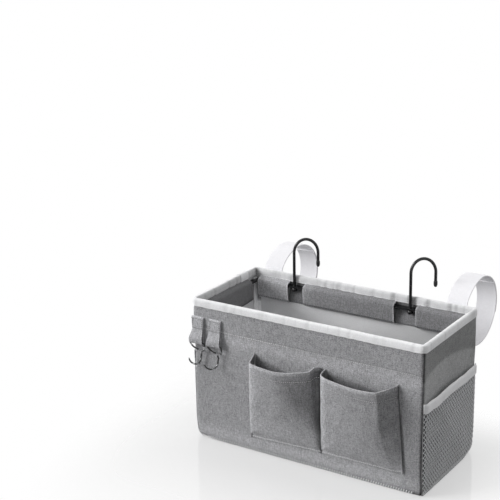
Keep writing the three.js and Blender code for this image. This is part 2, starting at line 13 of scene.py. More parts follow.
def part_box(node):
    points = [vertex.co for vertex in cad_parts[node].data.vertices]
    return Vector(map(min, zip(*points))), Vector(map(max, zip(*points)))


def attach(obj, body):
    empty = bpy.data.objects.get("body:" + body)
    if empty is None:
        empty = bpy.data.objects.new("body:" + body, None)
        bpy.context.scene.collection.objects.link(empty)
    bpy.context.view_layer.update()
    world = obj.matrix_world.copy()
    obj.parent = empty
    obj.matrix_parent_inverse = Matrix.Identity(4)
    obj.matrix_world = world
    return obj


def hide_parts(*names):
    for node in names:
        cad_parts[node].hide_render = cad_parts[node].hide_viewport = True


bl_info = {
    "name": "Bedside caddy",
    "version": (1, 0, 0),
    "blender": (4, 5, 0),
    "location": "3D View > Sidebar > Caddy",
    "description": "Makes the cloth, tape, net and wire of a bedside caddy",
    "category": "Add Mesh",
}

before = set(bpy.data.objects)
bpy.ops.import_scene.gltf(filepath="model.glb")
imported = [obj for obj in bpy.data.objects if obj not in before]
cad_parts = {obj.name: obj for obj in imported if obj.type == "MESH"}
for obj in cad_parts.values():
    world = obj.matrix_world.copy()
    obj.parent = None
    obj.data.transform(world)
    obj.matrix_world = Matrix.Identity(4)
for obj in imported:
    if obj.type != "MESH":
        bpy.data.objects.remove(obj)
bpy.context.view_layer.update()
MM = 0.001


def node_box(name):
    """A CAD node's lowest and highest corner, in millimetres."""
    return [np.array(corner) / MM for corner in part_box(name)]


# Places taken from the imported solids
HALF_WIDE, HALF_DEEP = node_box("bottom_panel")[1][:2]
RIM_TOP = node_box("rim_binding")[1][2]
TAPE_FOOT = node_box("rim_binding")[0][2]
SLEEVE_EDGE = node_box("front_sleeve")[0][2]
NET_TOP = node_box("right_mesh_binding")[1][2]
NET_TAPE_FOOT = node_box("right_mesh_binding")[0][2]
LINING_FLOOR = node_box("bottom_lining")[1][2]

# The box's four walls, each seen from outside: reach along it, distance out, turn from the front
WALLS = {
    "front": (HALF_WIDE, HALF_DEEP, 0),
    "right": (HALF_DEEP, HALF_WIDE, 90),
    "rear": (HALF_WIDE, HALF_DEEP, 180),
    "left": (HALF_DEEP, HALF_WIDE, 270),
}
STIFF = ("front", "rear")  # walls with a board in them
CORNERS = {
    "front": ("front_left", "front_right"),
    "right": ("front_right", "rear_right"),
    "rear": ("rear_right", "rear_left"),
    "left": ("rear_left", "front_left"),
}
CORNER_ROUND = 6.0
LEAST_ROUND = 0.8
CORNER_STEPS = 6
FOOT_ROUND = {"front_left": 11.0, "front_right": 4.0, "rear_right": 11.0, "rear_left": 10.0}
FOOT_BLEND = 32  # height below which a corner's radius changes to that of its foot
EDGE_ROUND = 3.0
WALL_INSET = 3.1  # outer face to the lining's inner face, stiff walls
END_INSET = 1.6  # the same on the soft ends
BAND_FOOT = SLEEVE_EDGE + 1.5  # stitch line under the rim band
BAND_MIDDLE, BAND_HALF = 164.5, 14.5

# Height and depth of the soft ends' sink, and the height of the fold above it
END_SINK = ((0, 0), (10, 0), (40, 3.4), (100, 5.8), (149, 6.6), (165, 2.4), (173, 0), (190, 0))
FOLD_HEIGHT = 148

# Pocket mouths as (along, out, height, where that fold meets the foot)
POCKET_MOUTHS = {
    "left": (
        (-68.5, 0.4, 132.3, -74), (-68, 6, 128.5, -74.6), (-67.5, 12.5, 124.6, -74.4),
        (-59, 15, 123.1, -62), (-41, 18.5, 122.9, -40), (-29, 20, 123.2, -24),
        (-13.4, 18.5, 124.3, 2), (1.6, 15, 126.5, 14), (11.8, 11.5, 128.3, 20.5),
        (15.9, 9.5, 129.3, 22.5), (18.5, 7, 132.1, 23.6), (20.4, 4.5, 134, 24.4),
        (24, 2.8, 134.5, 25.4), (28.5, 0.4, 133.1, 26.2)),
    "right": (
        (31, 0.4, 132.3, 27.2), (30.8, 9.5, 129.2, 27.2), (37, 13, 127.4, 33),
        (45, 15.5, 126.9, 43), (57.5, 18.5, 126.9, 57), (69.5, 21, 126.6, 70),
        (84, 23.5, 126.9, 85), (98, 24.8, 127.9, 99), (112.5, 24, 129.4, 125),
        (114, 22.6, 129.7, 128), (119.5, 16, 131.1, 132), (125, 7, 132.3, 135),
        (129, 0.4, 134.4, 137)),
}
# Width of the fold by the far edge, how long it stays upright, how far the belly is evened out
# below the mouth, and how full it is at the fold
POCKET_FORMS = {
    "left": {"fold": 0.15, "upright": 0.9, "evened": 1.0, "full": 0.0},
    "right": {"fold": 0.1, "upright": 3.2, "evened": 0.2, "full": 0.16},
}
POCKET_FOOT = ((-74, 19.3), (28, 22.8), (137, 24.3))  # along and height of the foot seam
POCKET_COLUMNS = 110
POCKET_ROLL = 0.85  # radius of the turned mouth

# Bed hooks as (along, turn of the arch) and the cuts round them in the rear sleeve
HOOKS = {"left": (-94.4, 30.0), "right": (73.5, 38.0)}
HOOK_DEEP = 65.1
WINDOWS = {"left": (-102.0, -79.0), "right": (53.0, 83.0)}
REAR_RUNS = {"left": (-148.0, -102.0), "middle": (-79.0, 53.0), "right": (83.0, 148.0)}

# Key hooks as (along, turn of the open hook), and their bar's place before the wall
KEY_PLACES = {"left": (-150.5, 10.0), "right": (-124.5, 40.0)}
KEY_REACH = 5.0
KEY_HEIGHT = 132.0
TAB_WAIST, TAB_TOP = KEY_HEIGHT + 18, KEY_HEIGHT + 33.6

# Cloth sections as (inwards from the wall's outer face, height)
SLEEVE_PROFILE = (
    (3.8, SLEEVE_EDGE), (5.8, 148.9), (8.8, 149.8), (10.7, 152), (11.6, 157), (12.2, 164),
    (12.6, 172.6), (11.9, 175.6), (6.8, 178), (3.8, 180), (3.7, 186.5))
WINDOW_PROFILE = (
    (3.6, SLEEVE_EDGE + 0.4), (4.6, 149.4), (5.6, 151), (5.9, 155), (5.4, 160), (4.4, 164),
    (3.7, 168), (3.6, 186))
TAPE_SECTION = (
    (-0.95, 178.4), (-1.0, 181), (-0.95, 185.4), (-0.3, 187.5), (1.9, 188.05), (4.0, 187.6),
    (4.9, 185.6), (5.0, 181), (4.85, 178.3))
TAPE_RIDGE = 1.9  # inset of the tape's top
TAPE_LEVEL = RIM_TOP - 2.0
TAPE_STEP = 1.6
TAPE_LAP = (-47.5, -29.5)  # where the tape's ends overlap on the left end

# The net's half width, foot and top, and the height at which its tape takes the net's depth
NET_EDGE, NET_LOW, NET_HIGH = 70.8, 1.2, NET_TAPE_FOOT + 4
NET_TAPE_LEVEL = 110

STRAP_STARTS = {"left": -145.0, "right": 119.0}
STRAP_WIDE = 26
STRAP_CENTRE = np.array([HALF_DEEP + 45, RIM_TOP - 22])  # of the loop, from front to rear and up

# Painted light and shade in level lines on the stiff walls, as (strength, height, half width): shade in the
# groove under the band, under the tape and along the lower edge, light between the band and the pockets and
# near the floor
STIFF_LINES = (
    (-0.08, BAND_FOOT - 0.6, 0.8), (-0.12, TAPE_FOOT, 4), (-0.55, 1.5, 3.2), (0.34, 141, 9), (0.24, 13, 9))
# Painted highlight along the sleeves' lower hem and painted shade just above it, in the same way
SLEEVE_LINES = ((0.15, SLEEVE_EDGE, 0.7), (0.25, 150.6, 0.8), (-0.3, 152.4, 0.8))
# Painted shade in the cloth beside each corner seam
SEAM_SHADE = {"front_right": 0.62, "rear_right": 0.06, "rear_left": 0.06, "front_left": 0.06}
# Painted light on the left part of the rear sleeves and a little painted shade on their right, as (along,
# strength)
REAR_SLEEVE_LIGHT_AND_SHADE = ((-148, 0.86), (-100, 0.74), (-60, 0.02), (60, -0.12), (148, -0.1))
# Painted shadow inside each pocket mouth as (start, end, fall of its upper edge)
MOUTH_SHADES = ((-69, 6, 0.3), (31, 122, 0.15))
# A pocket's painted light and shade: widths of the painted highlight by the near fold and of the painted
# shade by the far seam, painted light on the near half, painted shade on the slack half and painted light
# near the foot
POCKET_LIGHT_AND_SHADE = {
    "left": {"fold_width": 5.5, "seam_width": 3.0, "near": 0.2, "slack": 0.22, "foot": 0.14},
    "right": {"fold_width": 3.2, "seam_width": 1.8, "near": 0.14, "slack": 0.14, "foot": 0.04},
}
# Soft patches of painted shade and light on a pocket, as (strength, column, half width, share of the height,
# half height): shade of creases at the left pocket's lower corner, and shade and a highlight on the right
# pocket's flank
POCKET_PAINTED_PATCHES = {
    "left": ((-0.3, 0.13, 0.09, 0.07, 0.05),),
    "right": ((-0.28, 0.74, 0.06, 0.3, 0.2), (0.3, 0.79, 0.04, 0.78, 0.12)),
}


# Points and curves

def placed(wall, points):
    """Turns (along, out, up) on a wall into the box's own millimetres."""
    _, half, turn = WALLS[wall]
    c, s = math.cos(math.radians(turn)), math.sin(math.radians(turn))
    x, y = points[..., 0], -(half + points[..., 1])
    return np.stack([c * x - s * y, s * x + c * y, points[..., 2]], axis=-1)


def on_wall(wall, along, out, up):
    """The same from three values, any of which may be one number for all points."""
    return placed(wall, np.stack(np.broadcast_arrays(along, out, up), axis=-1))


def curve_through(points, count):
    """A smooth line through points of any dimension, evenly spaced along its length."""
    p = np.array(points, float)
    p = np.vstack([2 * p[0] - p[1], p, 2 * p[-1] - p[-2]])
    knots = np.concatenate([[0], np.cumsum(np.linalg.norm(np.diff(p, axis=0), axis=1) ** 0.5)])
    line = []
    for i in range(1, len(p) - 2):
        t = np.linspace(knots[i], knots[i + 1], 24, endpoint=i == len(p) - 3)[:, None]

        def between(a, b, low, high):
            span = knots[high] - knots[low]
            return (knots[high] - t) / span * a + (t - knots[low]) / span * b

        a1, a2, a3 = (between(p[j], p[j + 1], j, j + 1) for j in (i - 1, i, i + 1))
        b1, b2 = between(a1, a2, i - 1, i + 1), between(a2, a3, i, i + 2)
        line.append(between(b1, b2, i, i + 1))
    return even(np.vstack(line), count)


def even(line, count):
    """The same line with count points at even steps."""
    run = np.concatenate([[0], np.cumsum(np.linalg.norm(np.diff(line, axis=0), axis=1))])
    at = np.linspace(0, run[-1], count)
    return np.stack([np.interp(at, run, line[:, k]) for k in range(line.shape[1])], axis=1)


def steps(*stretches):
    """Heights along several stretches, each (from, to, step)."""
    parts = [np.linspace(a, b, max(int(round((b - a) / s)), 1), endpoint=False) for a, b, s in stretches]
    return np.concatenate(parts + [[stretches[-1][1]]])


def rumple(along, up, wave, seed):
    """Smooth noise from about -1 to 1, with bumps as wide as wave."""
    along, up = np.broadcast_arrays(along, up)
    flat = zip((along / wave).ravel(), (up / wave).ravel())
    return np.array([noise.noise((a, b, seed * 3.71)) for a, b in flat]).reshape(along.shape)


def hump(value, middle, width):
    """1 at the middle, falling smoothly to 0 on both sides."""
    return np.exp(-(((value - middle) / width) ** 2))


def rising(value, start, width):
    """0 up to the start, then up to 1 over the width."""
    return np.clip((value - start) / width, 0, 1)


def falling(value, end, width):
    """1, then down to 0 over the width before the end."""
    return np.clip((end - value) / width, 0, 1)


def arch(value, half):
    """A quarter wave: 1 in the middle and 0 at half."""
    return np.cos(np.clip(value / half, -1, 1) * math.pi / 2)


def lines_tint(up, lines):
    """Tint of level lines, each (strength, height, half width)."""
    return sum(strength * hump(up, height, width) for strength, height, width in lines)


def corner_rounds(wall, up):
    """Radii of a wall's two corners at a height."""
    fade = np.clip(1 - up / FOOT_BLEND, 0, 1) ** 1.5
    return [CORNER_ROUND + (FOOT_ROUND[corner] - CORNER_ROUND) * fade for corner in CORNERS[wall]]


def foot_inset(wall, along, up):
    """How far the rounded lower edge draws the wall in."""
    reach = WALLS[wall][0]
    start, end = (FOOT_ROUND[corner] - EDGE_ROUND for corner in CORNERS[wall])
    r = EDGE_ROUND + start * hump(along, -reach, 20) + end * hump(along, reach, 20)
    q = np.clip(1 - up / r, 0, 1)
    return r * (1 - np.sqrt(1 - q * q))


def fold_drop(across):
    """How far the fold on an end drops below its height, from front to rear."""
    return 12 * ((across + 12) / 84) ** 2


def end_sink(wall, along, up):
    """How far a soft end sinks in, below a fold that runs in an arc."""
    if wall in STIFF:
        return np.zeros(np.broadcast(along, up).shape)
    across = along if wall == "right" else -along
    shift = fold_drop(across) * rising(up, 90, 50) * falling(up, 176, 22)
    heights, depths = zip(*END_SINK)
    soft = sum(np.interp(up + shift + d, heights, depths) for d in (-4, -2, 0, 2, 4)) / 5
    return soft * arch(np.abs(along), 68) ** 0.6


def shell(wall, ups, inset=0.0, step=3.0, relief=None, seam=0.25):
    """One wall layer from corner seam to corner seam, as (row, column) points on the box."""
    reach = WALLS[wall][0]
    up = np.asarray(ups, float)[:, None]
    r0, r1 = (np.maximum(r - inset, LEAST_ROUND) for r in corner_rounds(wall, up))
    eighth = math.pi / 4
    arc0 = np.linspace(eighth, 0, CORNER_STEPS) * (1 - seam / (r0 * eighth))
    arc1 = np.linspace(0, eighth, CORNER_STEPS) * (1 - seam / (r1 * eighth))
    run = np.linspace(0, 1, max(int(2 * reach / step), 4))[None, 1:-1]
    left, right = inset + r0 - reach, reach - inset - r1
    straight, level = left * (1 - run) + right * run, 0 * left + 0 * run
    along = np.hstack([left - r0 * np.sin(arc0), straight, right + r1 * np.sin(arc1)])
    out = np.hstack([r0 * (np.cos(arc0) - 1), level, r1 * (np.cos(arc1) - 1)]) - inset
    turn = np.hstack([-arc0, level, arc1])
    push = -foot_inset(wall, along, up) - end_sink(wall, along, up)
    if relief is not None:
        push = push + relief(along, up)
    return on_wall(wall, along + push * np.sin(turn), out + push * np.cos(turn), up)


def round_the_box(inset, up, step):
    """One closed line round the four walls at a height."""
    return np.vstack([shell(wall, [up], inset, step, seam=0.0)[0][:-1] for wall in WALLS])


# Meshes

def object_of(name, mesh, material):
    """A new object in the scene with one material."""
    mesh.materials.clear()
    mesh.materials.append(material)
    obj = bpy.data.objects.new(name, mesh)
    bpy.context.scene.collection.objects.link(obj)
    return obj


def spans(points, wrap):
    """Lengths along the columns and up the rows, in metres, for a flat map of the cloth."""
    row = np.concatenate([points, points[:, :1]], axis=1) if wrap else points
    across = np.linalg.norm(np.diff(row, axis=1), axis=2).mean(axis=0)
    upward = np.linalg.norm(np.diff(points, axis=0), axis=2).mean(axis=1)
    return [np.concatenate([[0], np.cumsum(run)]) * MM for run in (across, upward)]


def grid_mesh(name, points, wrap=False, caps=False, tint=None):
    """A mesh of quads over rows and columns of points, with its flat map and tint."""
    rows, cols = points.shape[:2]
    r, c = np.meshgrid(np.arange(rows - 1), np.arange(cols if wrap else cols - 1), indexing="ij")
    r, c = r.ravel(), c.ravel()
    n = (c + 1) % cols
    quads = np.stack([r * cols + c, r * cols + n, (r + 1) * cols + n, (r + 1) * cols + c], axis=1).tolist()
    across, upward = spans(points, wrap)
    u = np.stack([across[c], across[c + 1], across[c + 1], across[c]], axis=1)
    v = np.stack([upward[r], upward[r], upward[r + 1], upward[r + 1]], axis=1)
    flat = np.stack([u, v], axis=-1).reshape(-1, 2)
    if caps:
        quads.append(list(range(cols))[::-1])
        quads.append(list(range((rows - 1) * cols, rows * cols)))
        flat = np.vstack([flat, np.zeros((2 * cols, 2))])
    mesh = bpy.data.meshes.new(name)
    mesh.from_pydata((points.reshape(-1, 3) * MM).tolist(), [], quads)
    layer = mesh.uv_layers.new(name="flat")
    layer.data.foreach_set("uv", flat.ravel())
    if tint is not None:
        shade = mesh.attributes.new("tint", "FLOAT", "POINT")
        shade.data.foreach_set("value", np.broadcast_to(tint, (rows, cols)).ravel().astype(np.float32))
    mesh.shade_smooth()
    return mesh


def settled(obj, sharp=50):
    """Turns an object's modifiers into plain mesh and marks edges sharper than some degrees."""
    bpy.context.view_layer.update()
    shown = obj.evaluated_get(bpy.context.evaluated_depsgraph_get())
    mesh = bpy.data.meshes.new_from_object(shown)
    mesh.name = obj.name
    obj.modifiers.clear()
    obj.data = mesh
    mesh.set_sharp_from_angle(angle=math.radians(sharp))
    return obj


def cloth(name, points, thickness, material, wrap=False, tint=None, offset=-1.0, flip=False):
    """A sheet of cloth of even thickness whose good side is given by rows and columns of points."""
    if flip:
        points = points[:, ::-1]
        tint = tint if tint is None else np.broadcast_to(tint, points.shape[:2])[:, ::-1]
    obj = object_of(name, grid_mesh(name, points, wrap, tint=tint), material)
    thick = obj.modifiers.new("thickness", "SOLIDIFY")
    thick.thickness = thickness * MM
    thick.offset = offset
    thick.use_even_offset = False
    settled(obj)
    across, upward = spans(points, wrap)
    obj["flat"] = (float(across[-1]), float(upward[-1]))
    return obj


def tube(name, line, radius, material, sides):
    """A round wire along a line, closed by domed ends. The radius may change along it."""
    line = np.array(line, float)
    radius = np.broadcast_to(np.asarray(radius, float), len(line)).copy()
    ahead = np.gradient(line, axis=0)
    ahead /= np.linalg.norm(ahead, axis=1)[:, None]
    domes = np.radians((84, 62, 38, 16))
    first = [(line[0] - ahead[0] * radius[0] * math.sin(a), radius[0] * math.cos(a)) for a in domes]
    last = [(line[-1] + ahead[-1] * radius[-1] * math.sin(a), radius[-1] * math.cos(a)) for a in domes[::-1]]
    line = np.vstack([[p for p, _ in first], line, [p for p, _ in last]])
    radius = np.concatenate([[r for _, r in first], radius, [r for _, r in last]])
    ahead = np.vstack([np.repeat(ahead[:1], len(domes), 0), ahead, np.repeat(ahead[-1:], len(domes), 0)])
    side = np.cross(ahead[0], (0.3, 0.5, 0.8))
    around = np.linspace(0, 2 * math.pi, sides, endpoint=False)
    rings = []
    for place, way, r in zip(line, ahead, radius):
        side = side - way * side.dot(way)
        side /= np.linalg.norm(side)
        ring = np.outer(np.cos(around), side) + np.outer(np.sin(around), np.cross(way, side))
        rings.append(place + r * ring)
    obj = object_of(name, grid_mesh(name, np.array(rings), wrap=True, caps=True), material)
    obj.data.set_sharp_from_angle(angle=math.radians(50))
    return obj


def line_mesh(name, lines, leans=None):
    """Bare edges along several lines, with the way that a stitch on each leans."""
    ends = np.cumsum([0] + [len(line) for line in lines])
    edges = [(i, i + 1) for a, b in zip(ends[:-1], ends[1:]) for i in range(a, b - 1)]
    mesh = bpy.data.meshes.new(name)
    mesh.from_pydata((np.vstack(lines) * MM).tolist(), edges, [])
    lean = mesh.attributes.new("lean", "FLOAT_VECTOR", "POINT")
    if leans is not None:
        lean.data.foreach_set("vector", np.vstack(leans).ravel().astype(np.float32))
    return mesh


# Node trees

class Graph:
    """Adds nodes to one tree and joins their sockets."""

    def __init__(self, tree):
        self.tree = tree

    def put(self, socket, value):
        """Links a socket to another, or sets its value."""
        if isinstance(value, bpy.types.NodeSocket):
            self.tree.links.new(value, socket)
        else:
            socket.default_value = value

    def fed(self, kind, inputs, **settings):
        """The outputs of a new node with some settings, whose inputs are given by name or place."""
        node = self.tree.nodes.new(kind)
        for key, value in settings.items():
            setattr(node, key, value)
        for key, value in inputs.items():
            self.put(node.inputs[key], value)
        return node.outputs

    def add(self, kind, *values, out=0, **settings):
        """One output of a new node whose inputs are given in order."""
        return self.fed(kind, dict(enumerate(values)), **settings)[out]

    def math(self, operation, *values, clamp=False):
        return self.add("ShaderNodeMath", *values, operation=operation, use_clamp=clamp)

    def times(self, a, b):
        return self.math("MULTIPLY", a, b)

    def plus(self, a, b, clamp=False):
        return self.math("ADD", a, b, clamp=clamp)

    def less(self, a, b, clamp=False):
        return self.math("SUBTRACT", a, b, clamp=clamp)

    def linear(self, value, gain, start, clamp=False):
        """The value times a gain, from a start."""
        return self.math("MULTIPLY_ADD", value, gain, start, clamp=clamp)

    def stretched(self, value, gain, clamp=False):
        """More or less contrast about a half."""
        return self.linear(self.less(value, 0.5), gain, 0.5, clamp)

    def chosen(self, share, low, high):
        """Low at a share of 0 and high at 1."""
        return self.plus(low, self.times(share, self.less(high, low)))

    def mix(self, share, low, high):
        """The same for colours."""
        return self.fed("ShaderNodeMix", {0: share, 6: low, 7: high}, data_type="RGBA")[2]

    def scaled(self, colour, factor):
        return self.fed("ShaderNodeVectorMath", {0: colour, "Scale": factor}, operation="SCALE")[0]

    def split(self, vector):
        return self.fed("ShaderNodeSeparateXYZ", {0: vector})

    def grain(self, place, scale, detail=2.0, rough=0.5):
        """Smooth noise."""
        values = {"Vector": place, "Scale": scale, "Detail": detail, "Roughness": rough}
        return self.fed("ShaderNodeTexNoise", values)[0]

    def bump(self, height, depth):
        return self.fed("ShaderNodeBump", {"Distance": depth, "Height": height})[0]

    def smooth_range(self, value, **ends):
        """A smooth step of a value between ends such as From_Min and To_Max."""
        values = {"Value": value, **{key.replace("_", " "): end for key, end in ends.items()}}
        return self.fed("ShaderNodeMapRange", values, interpolation_type="SMOOTHSTEP")[0]


class Surface(Graph):
    """The graph of a new material with one Principled shader, a flat map and the object's place."""

    def __init__(self, name, **sockets):
        self.material = bpy.data.materials.new(name)
        self.material.use_nodes = True
        super().__init__(self.material.node_tree)
        self.shader = self.tree.nodes["Principled BSDF"]
        for label, value in sockets.items():
            self.shader.inputs[label.replace("_", " ")].default_value = value
        where = self.tree.nodes.new("ShaderNodeTexCoord").outputs
        self.flat, self.place = where["UV"], where["Object"]

    def tinted(self, colour):
        """Lightens or darkens a colour by the piece's own tint, which holds painted light and shade."""
        mark = self.add("ShaderNodeAttribute", attribute_name="tint", out=2)
        return self.scaled(colour, self.plus(mark, 1.0))

    def dressed(self, colour, rough, normal):
        """The material, with its colour, roughness and normal joined."""
        for label, value in (("Base Color", colour), ("Roughness", rough), ("Normal", normal)):
            self.put(self.shader.inputs[label], value)
        return self.material


def shader_group(name, inputs, outputs, build):
    """A shader node group, made once, whose build gives the values of its outputs in order."""
    tree = bpy.data.node_groups.get(name)
    if tree is None:
        tree = bpy.data.node_groups.new(name, "ShaderNodeTree")
        for label, kind in inputs.items():
            tree.interface.new_socket(label, in_out="INPUT", socket_type=kind)
        for label in outputs:
            tree.interface.new_socket(label, in_out="OUTPUT", socket_type="NodeSocketFloat")
        g = Graph(tree)
        entry, leave = tree.nodes.new("NodeGroupInput"), tree.nodes.new("NodeGroupOutput")
        for place, value in enumerate(build(g, entry.outputs)):
            g.put(leave.inputs[place], value)
    return tree


def plain_weave(g, inputs):
    """Over and under yarns whose tone changes from yarn to yarn and slowly along each."""
    x, y, _ = g.split(g.add("ShaderNodeVectorMath", inputs["Place"], inputs["Pitch"], operation="DIVIDE"))
    column, row = g.math("FLOOR", x), g.math("FLOOR", y)
    over = g.math("PINGPONG", g.plus(column, row), 1.0)
    rises = [g.math("SINE", g.times(g.math("FRACT", v), math.pi)) for v in (x, y)]
    warp_height, weft_height = (g.times(a, g.linear(b, 0.5, 0.5)) for a, b in (rises, rises[::-1]))
    warp = g.grain(g.add("ShaderNodeCombineXYZ", column, g.times(y, inputs["Slub"]), 0.0), 0.9)
    weft = g.grain(g.add("ShaderNodeCombineXYZ", g.times(x, inputs["Slub"]), row, 9.0), 0.9)
    tone = g.stretched(g.chosen(over, g.stretched(weft, 0.6), g.stretched(warp, 1.2)), 0.7)
    crossing = g.add("ShaderNodeTexWhiteNoise", g.add("ShaderNodeCombineXYZ", column, row, 4.0))
    tone = g.linear(g.less(crossing, 0.5), 0.22, tone)
    return tone, g.chosen(over, weft_height, warp_height)


def soft_mottle(g, inputs):
    """Cloudy change of tone over a piece."""
    cloud = g.grain(inputs["Place"], inputs["Scale"], detail=4.0, rough=0.6)
    return (g.linear(g.less(cloud, 0.5), inputs["Amount"], 1.0),)


def weave(g, pitch, slub):
    """Tone and height of a weave on the flat map. Its yarns change faster with more slub."""
    inputs = {"Place": "NodeSocketVector", "Pitch": "NodeSocketFloat", "Slub": "NodeSocketFloat"}
    tree = shader_group("plain weave", inputs, ("Tone", "Height"), plain_weave)
    values = {"Place": g.flat, "Pitch": pitch, "Slub": slub}
    return g.fed("ShaderNodeGroup", values, node_tree=tree)


def mottle(g, scale, amount):
    """A factor about 1 that changes in clouds over the piece."""
    inputs = {"Place": "NodeSocketVector", "Scale": "NodeSocketFloat", "Amount": "NodeSocketFloat"}
    tree = shader_group("soft mottle", inputs, ("Factor",), soft_mottle)
    values = {"Place": g.place, "Scale": scale, "Amount": amount}
    return g.fed("ShaderNodeGroup", values, node_tree=tree)[0]


def rgba(colour, factor=1.0):
    """A colour with alpha, made lighter or darker."""
    return (*(min(c * factor, 1.0) for c in colour), 1.0)


def canvas(name, colour, contrast):
    """Plain-woven canvas of light and dark yarns."""
    g = Surface(name, Sheen_Weight=0.12, Sheen_Roughness=0.6, Specular_IOR_Level=0.2)
    pitch = bpy.context.scene.caddy_sizes.yarn_pitch
    tone, height = weave(g, pitch, 0.13)
    fleck, _ = weave(g, pitch * 1.7, 0.3)
    yarns = g.times(g.stretched(tone, 1.9, clamp=True), 0.84)
    flecks = g.times(g.stretched(fleck, 1.5, clamp=True), 0.16)
    base = g.mix(g.plus(yarns, flecks), rgba(colour, 1 - contrast), rgba(colour, 1 + contrast))
    # Darker where the weave is low: painted shade in the hollows between yarns; the mottle is tone that
    # differs at random
    base = g.scaled(g.scaled(base, mottle(g, 34.0, 0.14)), g.linear(height, 0.55, 0.66))
    fuzz = g.grain(g.place, 900.0, detail=3.0)
    normal = g.bump(g.linear(fuzz, 0.35, height), pitch * 0.35)
    return g.dressed(g.tinted(base), g.linear(height, -0.1, 0.96), normal)


def ribbed_tape(name, colour):
    """Fine white tape, a little uneven in tone."""
    g = Surface(name, Sheen_Weight=0.15, Specular_IOR_Level=0.25)
    tone, height = weave(g, 0.0011, 0.3)
    base = g.scaled(g.mix(tone, rgba(colour, 0.84), rgba(colour, 1.14)), mottle(g, 90.0, 0.12))
    return g.dressed(g.tinted(base), g.linear(tone, 0.2, 0.68), g.bump(height, 0.0002))


def looped_pile(name, colour):
    """The fuzzy side of hook-and-loop tape."""
    g = Surface(name, Sheen_Weight=0.3, Sheen_Roughness=0.5, Specular_IOR_Level=0.15)
    loops = g.grain(g.place, 1400.0, detail=3.0, rough=0.7)
    curls = g.grain(g.place, 420.0)
    base = g.mix(g.linear(loops, 0.7, g.times(curls, 0.3)), rgba(colour, 0.82), rgba(colour, 1.08))
    base = g.tinted(g.scaled(base, mottle(g, 55.0, 0.1)))
    return g.dressed(base, g.linear(curls, 0.2, 0.78), g.bump(loops, 0.00018))


def felted(name, colour):
    """Smooth bonded lining with pressed dots."""
    g = Surface(name, Sheen_Weight=0.1, Specular_IOR_Level=0.3)
    x, y, _ = g.split(g.scaled(g.flat, 1 / 0.0021))
    dots = g.times(g.math("SINE", g.times(x, math.pi)), g.math("SINE", g.times(y, math.pi)))
    press = g.times(dots, dots)
    fibres = g.grain(g.flat, 700.0, detail=4.0, rough=0.7)
    base = g.scaled(g.mix(fibres, rgba(colour, 0.84), rgba(colour, 1.14)), mottle(g, 26.0, 0.24))
    normal = g.bump(g.linear(fibres, 0.6, press), 0.00007)
    return g.dressed(g.tinted(base), g.linear(press, -0.2, 0.86), normal)


def twisted_thread(name, colour, strand):
    """Spun thread with fine strands."""
    g = Surface(name, Specular_IOR_Level=0.3, Sheen_Weight=0.1)
    fibre = g.grain(g.place, strand, detail=3.0, rough=0.6)
    base = g.scaled(g.mix(fibre, rgba(colour, 0.7), rgba(colour, 1.25)), mottle(g, 60.0, 0.2))
    return g.dressed(base, g.linear(fibre, 0.3, 0.6), g.bump(fibre, 0.0001))


def painted_steel(name, colour):
    """Gloss black paint with a little peel and rubbed high spots."""
    g = Surface(name, Specular_IOR_Level=0.35, Coat_Weight=0.2, Coat_Roughness=0.12)
    peel = g.grain(g.place, 1100.0)
    rub = g.grain(g.place, 160.0, detail=4.0, rough=0.7)
    worn = g.math("MULTIPLY", g.less(rub, 0.6, clamp=True), 2.0, clamp=True)
    base = g.mix(worn, rgba(colour), rgba(colour, 2.2))
    return g.dressed(base, g.linear(rub, 0.08, 0.2), g.bump(peel, 0.00001))


def dipped_vinyl(name, colour):
    """Soft black vinyl with a fine skin."""
    g = Surface(name, Specular_IOR_Level=0.4)
    skin = g.grain(g.place, 1500.0)
    drift = g.grain(g.place, 220.0, detail=3.0)
    base = g.mix(drift, rgba(colour, 0.7), rgba(colour, 1.6))
    return g.dressed(base, g.linear(drift, 0.25, 0.36), g.bump(skin, 0.00006))


def plated_wire(name, colour):
    """Plated wire, drawn along its length, dark with painted glints where its noise is high; the same noise
    sets its roughness.
    """
    g = Surface(name, Metallic=1.0)
    x, y, _ = g.split(g.flat)
    drawn = g.grain(g.add("ShaderNodeCombineXYZ", g.times(x, 3000.0), g.times(y, 90.0), 0.0), 1.0)
    dull_and_glints = g.grain(g.place, 200.0, detail=3.0, rough=0.6)
    glint_mask = g.math("MULTIPLY", g.less(dull_and_glints, 0.57), 8.0, clamp=True)
    # Painted glints: bright patches of colour that stand in for reflections
    base = g.mix(glint_mask, rgba(colour, 0.07), rgba(colour, 0.85))
    return g.dressed(base, g.linear(dull_and_glints, 0.12, 0.1), g.bump(drawn, 0.00003))


def pressed_board(name, colour):
    """Grey-brown fibre board."""
    g = Surface(name, Specular_IOR_Level=0.2)
    fibre = g.grain(g.place, 500.0, detail=5.0, rough=0.75)
    speck = g.grain(g.place, 1600.0)
    base = g.mix(fibre, rgba(colour, 0.75), rgba(colour, 1.2))
    return g.dressed(base, g.linear(speck, 0.15, 0.82), g.bump(fibre, 0.0002))


